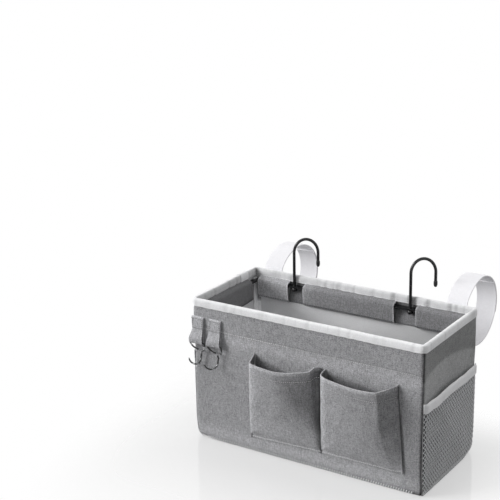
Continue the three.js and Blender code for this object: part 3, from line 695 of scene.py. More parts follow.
# Finishes of the record's slots, of the softer side facings and of threads: maker, colour, values
FINISHES = {
    "grey_canvas": (canvas, "canvas", 0.66),
    "side_canvas": (canvas, "end_canvas", 0.5),
    "dark_canvas": (canvas, "facing", 0.6),
    "side_facing": (canvas, "facing", 0.35),
    "lining_cloth": (felted, "lining"),
    "stiffener_board": (pressed_board, "board"),
    "white_binding": (ribbed_tape, "tape"),
    "white_strap": (looped_pile, "strap"),
    "grey_mesh": (twisted_thread, "net", 1200.0),
    "black_steel": (painted_steel, "steel"),
    "black_vinyl": (dipped_vinyl, "steel"),
    "bright_nickel": (plated_wire, "nickel"),
    "grey_thread": (twisted_thread, "grey_thread", 2200.0),
    "white_thread": (twisted_thread, "white_thread", 2200.0),
    "dark_thread": (twisted_thread, "dark_thread", 2200.0),
    "edge_thread": (twisted_thread, "edge_thread", 2200.0),
}


def finish(name):
    """The material of a finish, made when it is first asked for."""
    made = bpy.data.materials.get(name + "_look")
    if made is None:
        build, colour_name, *values = FINISHES[name]
        made = build(name + "_look", getattr(bpy.context.scene.caddy_colours, colour_name), *values)
    return made


def geometry_tree(name, numbers, build):
    """A geometry node tree with named numbers and a material, made once."""
    tree = bpy.data.node_groups.get(name)
    if tree is None:
        tree = bpy.data.node_groups.new(name, "GeometryNodeTree")
        tree.interface.new_socket("Lines", in_out="INPUT", socket_type="NodeSocketGeometry")
        for label in numbers:
            tree.interface.new_socket(label, in_out="INPUT", socket_type="NodeSocketFloat")
        tree.interface.new_socket("Material", in_out="INPUT", socket_type="NodeSocketMaterial")
        tree.interface.new_socket("Pieces", in_out="OUTPUT", socket_type="NodeSocketGeometry")
        g = Graph(tree)
        entry, leave = tree.nodes.new("NodeGroupInput"), tree.nodes.new("NodeGroupOutput")
        smooth = g.add("GeometryNodeSetShadeSmooth", build(g, entry.outputs))
        values = {"Geometry": smooth, "Material": entry.outputs["Material"]}
        g.put(leave.inputs[0], g.fed("GeometryNodeSetMaterial", values)[0])
    return tree


def stitch_build(g, inputs):
    """Small rounded stitches at even steps along lines, lying along them or as they lean."""
    curve = g.add("GeometryNodeMeshToCurve", inputs["Lines"])
    spaced = g.fed("GeometryNodeResampleCurve", {"Curve": curve, "Length": inputs["Pitch"]}, mode="LENGTH")[0]
    lean = g.fed("GeometryNodeInputNamedAttribute", {"Name": "lean"}, data_type="FLOAT_VECTOR")[0]
    way = g.add("ShaderNodeVectorMath", g.add("GeometryNodeInputTangent"), lean, operation="ADD")
    aim = g.fed("FunctionNodeAlignRotationToVector", {"Vector": way}, axis="X")[0]
    bead = g.fed("GeometryNodeMeshUVSphere", {"Segments": 6, "Rings": 4, "Radius": 0.5})[0]
    size = g.add("ShaderNodeCombineXYZ", inputs["Long"], inputs["Thick"], inputs["Thick"])
    values = {"Points": spaced, "Instance": bead, "Rotation": aim, "Scale": size}
    return g.add("GeometryNodeRealizeInstances", g.fed("GeometryNodeInstanceOnPoints", values)[0])


def thread_build(g, inputs):
    """Thin threads along lines."""
    curve = g.add("GeometryNodeMeshToCurve", inputs["Lines"])
    values = {"Resolution": 4, "Radius": g.times(inputs["Thick"], 0.5)}
    ring = g.fed("GeometryNodeCurvePrimitiveCircle", values)[0]
    values = {"Curve": curve, "Profile Curve": ring, "Fill Caps": True}
    return g.add("GeometryNodeRealizeInstances", g.fed("GeometryNodeCurveToMesh", values)[0])


def along_lines(name, lines, tree, material, numbers, leans=None):
    """A piece that a geometry tree makes along lines, as plain mesh."""
    obj = object_of(name, line_mesh(name, lines, leans), material)
    nodes = obj.modifiers.new("repeat", "NODES")
    nodes.node_group = tree
    values = {**numbers, "Material": material}
    for item in tree.interface.items_tree:
        if item.in_out == "INPUT" and item.name in values:
            nodes[item.identifier] = values[item.name]
    return settled(obj, sharp=80)


def stitches(name, lines, thread, slot, long, thick, pitch=None, leans=None):
    """Rows of stitches along lines, at the seams' usual pitch unless another is given."""
    if pitch is None:
        pitch = bpy.context.scene.caddy_sizes.stitch_pitch / MM
    tree = geometry_tree("stitch row", ("Pitch", "Long", "Thick"), stitch_build)
    numbers = {"Pitch": pitch * MM, "Long": long * MM, "Thick": thick * MM}
    kept(along_lines(name, lines, tree, finish(thread), numbers, leans), slot)


# Keeping pieces on the frame

def kept(obj, slot, *nodes, body="caddy"):
    """Lets a piece ride on a body and stand for its CAD nodes."""
    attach(obj, body)
    if nodes:
        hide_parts(*nodes)


# Settings

def length(label, text, millimetres):
    """A size that is typed in millimetres and kept in metres."""
    return bpy.props.FloatProperty(
        name=label, description=text, default=millimetres * MM, min=0.0, precision=5, unit="LENGTH")


def colour(label, text, *value):
    """A colour of three parts."""
    return bpy.props.FloatVectorProperty(
        name=label, description=text, default=value, size=3, min=0.0, max=1.0, subtype="COLOR")


class CaddySizes(bpy.types.PropertyGroup):
    """Sizes that a maker would change."""

    canvas_thickness: length("Canvas", "Thickness of the outer canvas", 0.8)
    lining_thickness: length("Lining", "Thickness of the lining", 0.5)
    tape_thickness: length("Tape", "Thickness of the white binding tape", 0.6)
    strap_thickness: length("Strap", "Thickness of the hook-and-loop tape", 1.5)
    yarn_pitch: length("Yarn pitch", "Distance from yarn to yarn in the canvas", 1.05)
    stitch_pitch: length("Stitch pitch", "Distance from stitch to stitch in a seam", 2.6)
    whip_pitch: length("Edge stitch pitch", "Distance between the stitches round the lower edge", 3.3)
    hem: length("Pocket hem", "Mouth of a pocket to its hem stitches", 12.0)
    net_along: length("Net width", "Width of one gap in the net", 5.2)
    net_up: length("Net height", "Height of one gap in the net", 6.4)
    net_thread: length("Net thread", "Thickness of the net's thread", 1.12)
    pucker: length("Pucker", "Depth of the puckers in the rim tape", 0.5)


class CaddyColours(bpy.types.PropertyGroup):
    """Colours of the finishes."""

    canvas: colour("Canvas", "Front, rear and pocket canvas", 0.385, 0.385, 0.399)
    # The end canvas is paler than the front's: painted light on the ends, which face away from the lamp
    end_canvas: colour("End canvas", "Canvas of the two ends", 0.455, 0.46, 0.463)
    facing: colour("Facing", "Canvas sleeve round the frame", 0.29, 0.29, 0.3)
    lining: colour("Lining", "Bonded lining", 0.685, 0.687, 0.695)
    board: colour("Board", "Stiffening board", 0.46, 0.43, 0.37)
    tape: colour("Tape", "White binding tape", 0.91, 0.915, 0.945)
    strap: colour("Strap", "White hook-and-loop tape", 0.86, 0.855, 0.88)
    net: colour("Net", "Thread of the end pockets", 0.74, 0.745, 0.76)
    steel: colour("Steel", "Black paint and vinyl", 0.008, 0.008, 0.009)
    nickel: colour("Nickel", "Bright plating of the key hooks", 0.78, 0.785, 0.8)
    grey_thread: colour("Grey thread", "Light seam thread on canvas", 0.72, 0.72, 0.73)
    white_thread: colour("White thread", "Seam thread on white tape", 0.84, 0.84, 0.87)
    dark_thread: colour("Dark thread", "Dark seam thread", 0.09, 0.09, 0.095)
    edge_thread: colour("Edge cord", "Cord round the edge of the right net", 0.24, 0.24, 0.245)


# Outer cloth

WALL_PIECES = {
    "front": ("front_cloth", "front_panel"),
    "right": ("right_end_cloth", "right_side_panel"),
    "rear": ("rear_cloth", "rear_panel"),
    "left": ("left_end_cloth", "left_side_panel"),
}


def front_relief(along, up):
    """Shallow relief of the stiff front and rear walls, in millimetres outwards."""
    band = 0.8 * np.clip(1 - ((up - BAND_MIDDLE) / BAND_HALF) ** 2, 0, 1) ** 0.7
    groove = -0.55 * hump(up, BAND_FOOT, 1.0)
    waves = 0.6 * rumple(along, up, 46, 1) + 0.3 * rumple(along, up, 17, 2)
    waves = waves + 0.35 * rumple(along, up / 3, 12, 3) * hump(up, 0, 60)
    return band + groove + waves * falling(up, TAPE_FOOT, 12)


def end_relief(along, up):
    """The same of the soft ends."""
    slack = 0.7 * rumple(along, up, 38, 5) + 0.3 * rumple(along, up, 15, 6)
    return slack * falling(up, TAPE_FOOT, 12)


def raised_line(wall, height, lift):
    """A level line round a wall, lifted off its cloth."""
    relief = front_relief if wall in STIFF else end_relief
    return shell(wall, [height], relief=lambda along, up: relief(along, up) + lift)[0]


def seam_tint(wall, points):
    """Painted shade in the folded cloth beside the corner seams."""
    flat = np.linalg.norm(points[:, 1:] - points[:, :-1], axis=2)
    run = np.concatenate([np.zeros((len(points), 1)), np.cumsum(flat, axis=1)], axis=1)
    sides = run, run[:, -1:] - run
    return -sum(SEAM_SHADE[corner] * hump(side, 0, 1.5) for side, corner in zip(sides, CORNERS[wall]))


def pocket_shade(along, up):
    """Painted shadow on the wall inside the two pocket mouths, from 0 to about a half."""
    shade = 0.0
    for start, end, fall in MOUTH_SHADES:
        inside = rising(along, start, 3) * falling(along, end, 24)
        below = falling(up, 133 - fall * (along - start), 5)
        shade = shade + 0.48 * inside * below * rising(up, 50, 40)
    return shade


def front_tint(along, up):
    """Painted light and shade of the front: a paler left end, painted light beside the tabs, and painted
    shade beside and in the pockets.
    """
    band = (0.08 + 0.14 * falling(along, -40, 90)) * (up > BAND_FOOT)
    beside_tabs = 0.17 * hump(along, -112, 26) * hump(up, 126, 20)
    beside_pocket = -0.2 * rising(along, 128, 12) * falling(up, 118, 20)
    return band + beside_tabs + beside_pocket - pocket_shade(along, up)


def end_tint(wall, across, up):
    """Painted shade of a soft end above its fold and behind its net."""
    above_fold = 0.34 / (1 + np.exp(-(up - (FOLD_HEIGHT - fold_drop(across))) / 0.7))
    behind_net = 0.78 * falling(up, 112, 6)
    if wall == "left":  # without shade beside the front corner
        behind_net = behind_net * rising(across + HALF_DEEP, 5, 6)
    return -above_fold - behind_net


def wall_tint(wall, points, up):
    """Painted light and shade of one wall's outer cloth."""
    tint = seam_tint(wall, points)
    if wall in STIFF:
        # Painted shade on the band above its stitch line on the stiff walls
        tint = tint - 0.07 * (up > BAND_FOOT) + lines_tint(up, STIFF_LINES)
    else:
        tint = tint + end_tint(wall, points[..., 1], up)
    if wall == "front":
        tint = tint + front_tint(points[..., 0], up)
    return tint


def make_underside():
    """Makes the cloth under the box, a little waved."""
    rim = round_the_box(0.0, 0.35, 4.0)
    rings = []
    for share in (1.0, 0.985, 0.94, 0.85, 0.7, 0.5, 0.28, 0.08, 0.01):
        ring = rim * np.array([share, share, 0.0])
        waves = 0.12 * (1 + rumple(ring[:, 0], ring[:, 1], 40, 9)) * (share < 0.98)
        ring[:, 2] = 0.1 + 0.25 * (1 - hump(share, 1.0, 0.03)) + waves
        rings.append(ring)
    under = cloth("underside_cloth", np.array(rings)[::-1], 0.5, finish("grey_canvas"), wrap=True)
    under["flat"] = (2 * HALF_WIDE * MM, 2 * HALF_DEEP * MM)
    kept(under, "grey_canvas", "bottom_panel")


def make_wall_stitches(whip_pitch):
    """Makes the stitches under the rim band and round the lower edge."""
    front, rear = (raised_line(wall, BAND_FOOT, 0.45)[7:-7] for wall in STIFF)
    pale, fine = front[front[:, 0] < -20], front[front[:, 0] > -22]
    stitches("band_stitches_left", [pale], "white_thread", "grey_canvas", long=2.0, thick=1.25)
    stitches("band_stitches", [fine, rear], "grey_thread", "grey_canvas", long=2.0, thick=0.7)
    cuts = {wall: 8 if wall in STIFF else 14 for wall in WALLS}
    lines = [raised_line(wall, 2.6, 0.5)[cut:-cut] for wall, cut in cuts.items()]
    leans = [np.repeat([[0.0, 0.0, 2.4]], len(line), axis=0) for line in lines]
    stitches("edge_stitches", lines, "white_thread", "grey_canvas", long=4.6, thick=1.6,
             pitch=whip_pitch, leans=leans)


def make_walls(context):
    """Makes the outer canvas, the underside and their stitches."""
    s = context.scene.caddy_sizes
    ups = steps((0.3, 12, 0.9), (12, 144, 3), (144, 155, 0.7), (155, 178, 2.5), (178, RIM_TOP - 1, 3))
    for wall, (name, node) in WALL_PIECES.items():
        stiff = wall in STIFF
        slot = "grey_canvas" if stiff else "side_canvas"
        points = shell(wall, ups, step=2.6, relief=front_relief if stiff else end_relief)
        tint = wall_tint(wall, points, ups[:, None])
        obj = cloth(name, points, s.canvas_thickness / MM, finish(slot), tint=tint)
        kept(obj, slot, node)
    make_underside()
    make_wall_stitches(s.whip_pitch / MM)


# Lining and sleeves

def lining_slack(along, up):
    """How the lining stands off the wall."""
    return -0.35 * (1 + rumple(along, up, 30, 12)) * falling(up, 170, 20)


def make_corner_strips():
    """Makes the strips over the lining's corner seams, pale with painted light, with painted shadow on their
    half beside the sleeves.
    """
    half, look = 7, finish("lining_cloth")
    signs = {"rear_left": (-1, 1), "rear_right": (1, 1), "front_left": (-1, -1), "front_right": (1, -1)}
    a, up = np.meshgrid(np.linspace(-half, half, 15), steps((LINING_FLOOR + 1, 176, 3)))
    bow = 4.4 + 1.2 * (1 - (a / half) ** 2) + 0.3 * rumple(a, up, 12, 15)
    # Painted light over the strip and painted shadow on its half beside the sleeve, above 140 mm
    tint = 0.65 - 1.2 * (a < -0.5) * rising(up, 140, 6)
    for corner, (x, y) in signs.items():
        px = x * (HALF_WIDE - bow - np.maximum(-a, 0) * 0.95)
        py = y * (HALF_DEEP - bow - np.maximum(a, 0) * 0.95)
        points = np.stack([px, py, up], -1)
        strip = cloth("corner_strip_" + corner, points, 0.5, look, tint=tint, flip=x * y < 0)
        kept(strip, "lining_cloth")


def make_lining(context):
    """Makes the lining of the walls and the floor, and its corner strips."""
    thick = context.scene.caddy_sizes.lining_thickness / MM
    look = finish("lining_cloth")
    ups = steps((LINING_FLOOR, 12, 1.5), (12, 150, 4), (150, RIM_TOP - 1, 4))
    for wall in WALLS:
        inset = WALL_INSET if wall in STIFF else END_INSET
        points = shell(wall, ups, inset=inset, step=4, relief=lining_slack, seam=0.1)
        # Painted light on the lining's left and painted shade towards its right and along its foot
        tint = 0.18 - 0.55 * rising(points[..., 0], -60, 180) - 0.25 * hump(ups[:, None], LINING_FLOOR, 5)
        obj = cloth(wall + "_lining_cloth", points, thick, look, tint=tint, flip=True)
        kept(obj, "lining_cloth", wall + "_lining")
    low, high = node_box("bottom_lining")
    x, y = np.meshgrid(np.linspace(low[0], high[0], 80), np.linspace(low[1], high[1], 37))
    z = high[2] + 0.4 + 0.35 * rumple(x, y, 34, 14)
    obj = cloth("floor_lining_cloth", np.stack([x, y, z], -1), thick, look)
    kept(obj, "lining_cloth", "bottom_lining")
    make_corner_strips()


def sleeve_points(wall, start, end, seed):
    """Points of a sleeve from its lower edge round the frame, with its hemmed ends and heights."""
    profile = curve_through(SLEEVE_PROFILE, 34)
    between = np.linspace(start + 3, end - 3, max(int((end - start) / 3), 3))
    along = np.concatenate([[start, start + 0.9, start + 1.8], between, [end - 1.8, end - 0.9, end]])
    a, inward = np.meshgrid(along, profile[:, 0])
    up = np.repeat(profile[:, 1:], len(along), axis=1)
    loose = falling(up, 178, 10) * rising(up, 149, 6)
    inward = inward + loose * (0.6 * rumple(a, up, 22, seed) + 0.3 * rumple(a, up, 9, seed + 1))
    inward = inward + end_sink(wall, a, up)
    hem = np.maximum(hump(a, start, 1.4), hump(a, end, 1.4))
    return on_wall(wall, a, -inward - 0.25 * hem * loose, up), hem, up


def make_sleeves(context):
    """Makes the sleeves that hold the frame, and the plies behind the two windows."""
    wide, deep = HALF_WIDE - 13, HALF_DEEP - 27
    runs = {"front_sleeve": ("front", -wide, wide)}
    for wall in ("left", "right"):
        runs[wall + "_sleeve"] = (wall, -deep, deep)
    for name, (start, end) in REAR_RUNS.items():
        runs["rear_sleeve_" + name] = ("rear", -end, -start)
    stitch_lines = []
    for seed, (node, (wall, start, end)) in enumerate(runs.items()):
        points, hem, up = sleeve_points(wall, start, end, 20 + 3 * seed)
        tint = lines_tint(up, SLEEVE_LINES)
        # Painted highlight on the hemmed ends and painted light on the rear sleeves' left part; painted shade
        # on the left sleeve
        if wall == "rear":
            tint = tint + 0.9 * hem + np.interp(points[..., 0], *zip(*REAR_SLEEVE_LIGHT_AND_SHADE))
        else:
            tint = tint + 0.2 * hem - 0.38 * (wall == "left")
        look = finish("dark_canvas" if wall in STIFF else "side_facing")
        obj = cloth(node + "_cloth", points, 0.6, look, tint=tint, flip=True)
        kept(obj, "dark_canvas", node)
        line = points[6, 1:-1]
        middle = np.array([0, 0, line[:, 2].mean()])
        stitch_lines.append(line + (middle - line) * 0.0022)
    stitches("sleeve_stitches", stitch_lines, "dark_thread", "dark_canvas", long=1.9, thick=1.0)
    behind = curve_through(WINDOW_PROFILE, 26)
    up = behind[:, 1:]
    for name, (start, end) in WINDOWS.items():
        ply = on_wall("rear", np.linspace(-end - 1.5, -start + 1.5, 16)[None, :], -behind[:, :1], up)
        # Painted shade on the ply, darkest under the frame
        tint = -0.1 - 0.4 * hump(up, 172, 7)
        obj = cloth("window_ply_" + name, ply, 0.4, finish("dark_canvas"), tint=tint, flip=True)
        kept(obj, "dark_canvas")


# Rim tape

def tape_tint(rows, section, ridge):
    """Painted shade in the tape's puckers and on its inner side at the rear and left, and a painted highlight
    along its inner lower edge at the rear.
    """
    inner = rising(section[:, :1], 2.4, 1.5)
    top = rows[len(rows) // 2]
    rear = falling(HALF_DEEP - top[:, 1], 12, 6)
    left = falling(HALF_WIDE + top[:, 0], 12, 6)
    pucker_shade_gain = 0.5 + 1.6 * rising(top[:, 0], 10, 60)
    puckers = -0.26 * np.clip(-1.4 * ridge, 0, 1) * (0.6 * (1 - inner) + pucker_shade_gain * inner)
    lower_edge = 0.24 * inner * rear * falling(section[:, 1:], 180.2, 1.2)
    return puckers - inner * (0.2 * rear + 0.32 * left) + lower_edge


def make_tape_lap(section):
    """Makes the short lap where the tape's ends overlap."""
    along = np.linspace(*TAPE_LAP, 13)
    rows = []
    for inset, up in section:
        out = -inset - 0.75 * np.clip((inset - TAPE_RIDGE) / 3, -1, 1)
        out = out + 0.25 * rumple(along, up, 6, 35) * np.sign(TAPE_RIDGE - inset)
        rows.append(on_wall("left", along, out, up + (0.7 * rising(up, 184, 4) + 0.15)))
    # Painted shade at the lap's two ends
    tint = -0.05 - 0.2 * np.maximum(*(hump(along, end, 0.6) for end in TAPE_LAP))
    lap = cloth("rim_tape_lap", np.array(rows), 0.55, finish("white_binding"), tint=tint)
    kept(lap, "white_binding")


def make_rim_tape(context):
    """Makes the puckered tape from its outer edge over the rim to its inner edge."""
    s = context.scene.caddy_sizes
    section = curve_through(TAPE_SECTION, 21)
    inset, height = section.T
    rows = np.array([round_the_box(each, TAPE_LEVEL, TAPE_STEP) for each in inset])
    rows[..., 2] = height[:, None]
    run = np.concatenate([[0], np.cumsum(np.linalg.norm(np.diff(rows[0], axis=0), axis=1))])
    turn = run / run[-1] * 2 * math.pi
    x, y = np.stack([np.cos(turn), np.sin(turn)]) * run[-1] / (2 * math.pi)
    ridge = rumple(x, y, 7.5, 31) + 0.5 * rumple(x, y, 3.6, 32)
    slow = rumple(x, y, 48, 33)
    side = np.sign(inset - TAPE_RIDGE) * np.minimum(np.abs(inset - TAPE_RIDGE) / 2.9, 1)
    depth = s.pucker / MM * np.where(inset > TAPE_RIDGE, 1.7, 1.0)
    near, far = (round_the_box(each, TAPE_LEVEL, TAPE_STEP) for each in (TAPE_RIDGE, TAPE_RIDGE + 3.0))
    outward = (near - far) / 3.0
    outward[:, 2] = 0
    fade = np.clip((188.4 - height)[:, None] / 6, 0.25, 1)
    push = -side[:, None] * (depth[:, None] * ridge[None, :] * fade + 0.1)
    rows = rows + push[..., None] * outward[None]
    rows[..., 2] += 0.5 * slow[None, :] + falling(height, 181.5, 3)[:, None] * 0.7 * ridge[None, :]
    tint = tape_tint(rows, section, ridge)
    obj = cloth("rim_tape", rows, s.tape_thickness / MM, finish("white_binding"), wrap=True, tint=tint)
    kept(obj, "white_binding", "rim_binding")
    lines = [np.vstack([line, line[:1]]) for line in (rows[3] + 0.15 * outward, rows[-4] - 0.12 * outward)]
    stitches("tape_stitches", lines, "white_thread", "white_binding", long=1.9, thick=0.5)
    make_tape_lap(section)


# Front pockets

def pocket_foot(x):
    """Height of the pockets' lower seam."""
    return np.interp(x, *zip(*POCKET_FOOT))


def pocket_row(side, mouth, share, lift=0.0):
    """One level line of a pocket, from its foot at 0 to its mouth at 1, as (along, out, up)."""
    form = POCKET_FORMS[side]
    start, depth, height, end = mouth.T
    column = np.linspace(0, 1, len(mouth))
    fold = hump(column, 0.8, form["fold"])
    x = start + (end - start) * (1 - share) ** (1 + form["upright"] * fold)
    foot = pocket_foot(end)
    up = foot + (height - foot) * share
    soft = np.convolve(np.pad(depth, 14, mode="edge"), np.full(29, 1 / 29), mode="valid")
    soft = soft - (soft[-1] - depth[-1]) * rising(column, 0.75, 0.25) ** 2
    belly = depth + (soft - depth) * (1 - share ** 3) * rising(column, 0.55, 0.15) * form["evened"]
    out = 0.78 + front_relief(x, up) + belly * share ** (0.74 - form["full"] * fold)
    slack = math.sin(math.pi * share) ** 0.7
    loose = np.clip(depth / 10, 0, 1)
    out = out + slack * loose * (1.3 * rumple(x, up, 30, 41) + 0.5 * rumple(x, up, 11, 42))
    out = out - 0.5 * hump(share, 0.04, 0.025) * loose
    reach, rise = x - end[0], up - foot
    for slope, first, crease in ((0.3, 4, -0.6), (0.6, 6, 0.5), (0.95, 8, -0.6)):
        line = hump(rise, first + slope * reach, 1.8)
        out = out + crease * line * np.exp(-reach / 9) * np.clip(rise / 3, 0, 1)
    return np.stack([x, out + lift, up], -1)


def pocket_tint(side, mouth, shares, rows, hem_share):
    """Painted light and shade of a pocket's face, turned mouth and hem."""
    tone = POCKET_LIGHT_AND_SHADE[side]
    depth, index = mouth[:, 1], np.arange(len(mouth))
    column, share = np.linspace(0, 1, len(mouth))[None, :], shares[:, None]
    near_fold = np.argmin(np.abs(depth - 12.0) + 100 * (index > 40))
    seam_width = np.where(index > 55, tone["seam_width"], POCKET_LIGHT_AND_SHADE["right"]["seam_width"])
    # Painted light along the foot and shade on the hem line, a painted highlight by the near fold, shade by
    # the seams, light on the near half and near the foot, shade on the far half
    face = 0.5 * hump(share, 0.0, 0.01) - 0.18 * hump(share, hem_share, 0.008)
    face = face + 0.28 * hump(index, near_fold, tone["fold_width"]) - 0.8 * hump(depth, 0, seam_width)
    face = face + tone["near"] * falling(column, 0.45, 0.45) + tone["foot"] * hump(share, 0.17, 0.14)
    face = face - tone["slack"] * rising(column, 0.42, 0.3) * rising(share, 0.08, 0.5)
    for strength, middle, width, level, height in POCKET_PAINTED_PATCHES[side]:
        face = face + strength * hump(column, middle, width) * hump(share, level, height)
    # Painted shade in a wedge towards the far seam, and a painted highlight by the near fold
    if side == "left":
        wedge = rising(column + 0.55 * share, 0.95, 0.18) * falling(column, 0.97, 0.08)
        face = face - 0.27 * hump(column, 0.94, 0.07) * (1 - 0.4 * share)
        face = face - 0.24 * wedge * falling(share, 0.95, 0.3)
        face = face - 0.3 * hump(column, 0.95, 0.07) * falling(share, 0.65, 0.3)
        face = face + 0.3 * hump(column, 0.13, 0.06) * rising(share, 0.25, 0.4)
    else:
        # Painted light at the foot of the right pocket's flank and a little painted shade above it
        flank = 0.34 * falling(share, 0.14, 0.06) - 0.08 * hump(share, 0.4, 0.2)
        face = face + rising(column, 0.8, 0.06) * flank
    count = len(shares)
    tint = np.zeros((rows, len(mouth)))
    tint[:count] = face
    # Painted highlight on the turned mouth, and painted shade behind the hem, most at its left end
    tint[count - 2:count + 5] += 0.38
    tint[count + 5:] -= 0.12 + 0.5 * hump(index, 0, 9)
    return tint


def pocket_points(side, mouth, shares, hem):
    """Rows of a pocket from its foot up, over the turned mouth and down behind its hem."""
    rows = [pocket_row(side, mouth, share) for share in shares]
    top = rows[-1]
    tangent = np.gradient(top[:, :2], axis=0)
    inward = np.stack([tangent[:, 1], -tangent[:, 0]], -1) / np.linalg.norm(tangent, axis=1)[:, None]
    for angle in np.radians((30, 60, 90, 120, 150, 180)):
        row = top.copy()
        row[:, :2] += inward * POCKET_ROLL * (1 - math.cos(angle))
        row[:, 2] += POCKET_ROLL * math.sin(angle)
        rows.append(row)
    for drop in (2, 5, 8, hem):
        row = pocket_row(side, mouth, 1 - drop / 105)
        row[:, :2] += inward * 2 * POCKET_ROLL
        rows.append(row)
    points = np.array(rows)
    points[..., 1] = np.maximum(points[..., 1], front_relief(points[..., 0], points[..., 2]) + 0.72)
    return points


def make_pockets(context):
    """Makes the two front pockets and their stitches."""
    hem = context.scene.caddy_sizes.hem / MM
    hem_share = 1 - hem / 106
    shares = np.concatenate([np.linspace(0, 0.1, 9), np.linspace(0.12, 0.98, 38), [1.0]])
    hem_lines, seam_lines, foot_lines, tacks = [], [], [], []
    for side, knots in POCKET_MOUTHS.items():
        mouth = curve_through(knots, POCKET_COLUMNS)
        points = pocket_points(side, mouth, shares, hem)
        tint = pocket_tint(side, mouth, shares, len(points), hem_share)
        obj = cloth(side + "_pocket_cloth", placed("front", points), 0.7, finish("grey_canvas"), tint=tint)
        kept(obj, "grey_canvas", side + "_front_pocket")
        hem_lines.append(placed("front", pocket_row(side, mouth, hem_share, 0.25))[3:-3])
        foot_lines.append(placed("front", pocket_row(side, mouth, 0.022, 0.3))[4:-4])
        near = placed("front", pocket_row(side, mouth, 0.985, 0.9))
        for end, shift in ((near[0], 0.6), (near[-1], -0.6)):
            tacks.append(np.array([end, end + [shift, 0, -7]]))
    for low, high in ((-73.2, -67.6), (26.8, 29.4), (136.4, 128.4)):
        up = np.linspace(pocket_foot(low) + 1, 131, 60)
        x = low + (high - low) * (up - pocket_foot(low)) / 110
        seam_lines.append(on_wall("front", x, 1.7 + front_relief(x, up), up))
    leans = [np.repeat([[6.0, 0.0, 0.0]], 2, axis=0)] * len(tacks)
    stitches("pocket_hem_stitches", hem_lines, "grey_thread", "grey_canvas", long=1.9, thick=0.55)
    stitches("pocket_foot_stitches", foot_lines, "grey_thread", "grey_canvas", long=2.2, thick=0.9)
    stitches("pocket_seam_stitches", seam_lines, "dark_thread", "grey_canvas", long=3.6, thick=1.1)
    stitches("pocket_tacks", tacks, "dark_thread", "grey_canvas", long=2.4, thick=0.6, pitch=0.8, leans=leans)


# Net pockets

def net_out(wall, along, up):
    """How far the stretched net stands out, drawn in at the corners and the foot."""
    start, end = corner_rounds(wall, up)
    r = np.where(along < 0, start, end)
    corner = np.clip(np.abs(along) - (HALF_DEEP - r), 0, 0.97 * r)
    drawn = r - np.sqrt(r ** 2 - corner ** 2)
    fill = 0.4 * arch(along, 70) * np.sin(np.clip(up / 118, 0, 1) * math.pi / 2)
    return 1.35 + fill - drawn - foot_inset(wall, along, up)


def net_sag(along):
    """How far the net's upper edge hangs down."""
    return 0.7 * (1 - (along / 71) ** 2)


def net_lines(wall, wide, tall):
    """The net's slanting threads, over and under each other, for gaps of a width and height."""
    lines = []
    reach = int((2 * NET_EDGE + (NET_HIGH - NET_LOW) * wide / tall) / wide) + 2
    for lean in (1, -1):
        for k in range(-reach, reach + 1):
            ends = (lean * (side - k * wide) * tall / wide + NET_LOW for side in (-NET_EDGE, NET_EDGE))
            start, end = sorted(ends)
            start, end = max(start, NET_LOW), min(end, NET_HIGH)
            if end - start < 1:
                continue
            up = np.linspace(start, end, max(int((end - start) / tall * 2), 2))
            along = k * wide + lean * (up - NET_LOW) * wide / tall
            weave_in = 0.16 * lean * np.where(np.arange(len(along)) % 2, 1, -1)
            hung = up - net_sag(along) * (up / NET_TOP) ** 2
            lines.append(on_wall(wall, along, net_out(wall, along, up) + weave_in, hung))
    return lines


def net_borders(wall):
    """The lines of the cord at the net's two sides and its foot."""
    up = np.linspace(NET_LOW, NET_HIGH, 60)
    along = np.linspace(-NET_EDGE, NET_EDGE, 80)
    sides = [on_wall(wall, edge, net_out(wall, edge, up) - 0.3, up) for edge in (-NET_EDGE, NET_EDGE)]
    return [*sides, on_wall(wall, along, net_out(wall, along, NET_LOW), NET_LOW)]


def make_net_tape(wall, thickness):
    """Makes the folded tape over a net's upper edge, and its stitches."""
    section = curve_through((
        (3.3, NET_TAPE_FOOT), (3.45, NET_TAPE_FOOT + 5), (3.3, NET_TOP - 1.6), (2.0, NET_TOP - 0.1),
        (0.6, NET_TOP - 1.6), (0.35, NET_TAPE_FOOT + 5), (0.4, NET_TAPE_FOOT)), 19)
    along = np.linspace(-70.9, 70.9, 72)
    a, out = np.meshgrid(along, section[:, 0])
    up = np.repeat(section[:, 1:], len(along), axis=1)
    ridge = rumple(a, up, 11, 51) + 0.5 * rumple(a, up, 5, 52)
    shut = 1 - 0.75 * rising(np.abs(a), 67, 3)
    fold = (out - 1.9) * shut + 0.3 + net_out(wall, a, NET_TAPE_LEVEL)
    out = fold + 0.3 * ridge * np.sign(out - 1.9) * shut
    hung = up - net_sag(a) + 1.5 * rumple(a, 0 * a, 17, 53)
    # Painted shade in the tape's puckers
    tint = -0.08 * np.clip(-ridge, 0, 1)
    points = on_wall(wall, a, out, hung)
    tape = cloth(wall + "_net_tape", points, thickness, finish("white_binding"), tint=tint)
    kept(tape, "white_binding", wall + "_mesh_binding")
    a = along[2:-2]
    line = on_wall(wall, a, net_out(wall, a, NET_TAPE_LEVEL) + 1.9, NET_TAPE_FOOT + 1.8 - net_sag(a))
    stitches(wall + "_net_tape_stitches", [line], "white_thread", "white_binding", long=1.8, thick=0.4)


def make_nets(context):
    """Makes the net, its edge cord and its tape on both ends."""
    s = context.scene.caddy_sizes
    tree = geometry_tree("net threads", ("Thick",), thread_build)
    for wall in ("left", "right"):
        lines = net_lines(wall, s.net_along / MM, s.net_up / MM)
        net = along_lines(wall + "_net", lines, tree, finish("grey_mesh"), {"Thick": s.net_thread})
        kept(net, "grey_mesh", wall + "_mesh_pocket")
        look = finish("edge_thread" if wall == "right" else "grey_mesh")
        kept(along_lines(wall + "_net_edge", net_borders(wall), tree, look, {"Thick": 1.3 * MM}), "grey_mesh")
        make_net_tape(wall, s.tape_thickness / MM)


# Key hooks

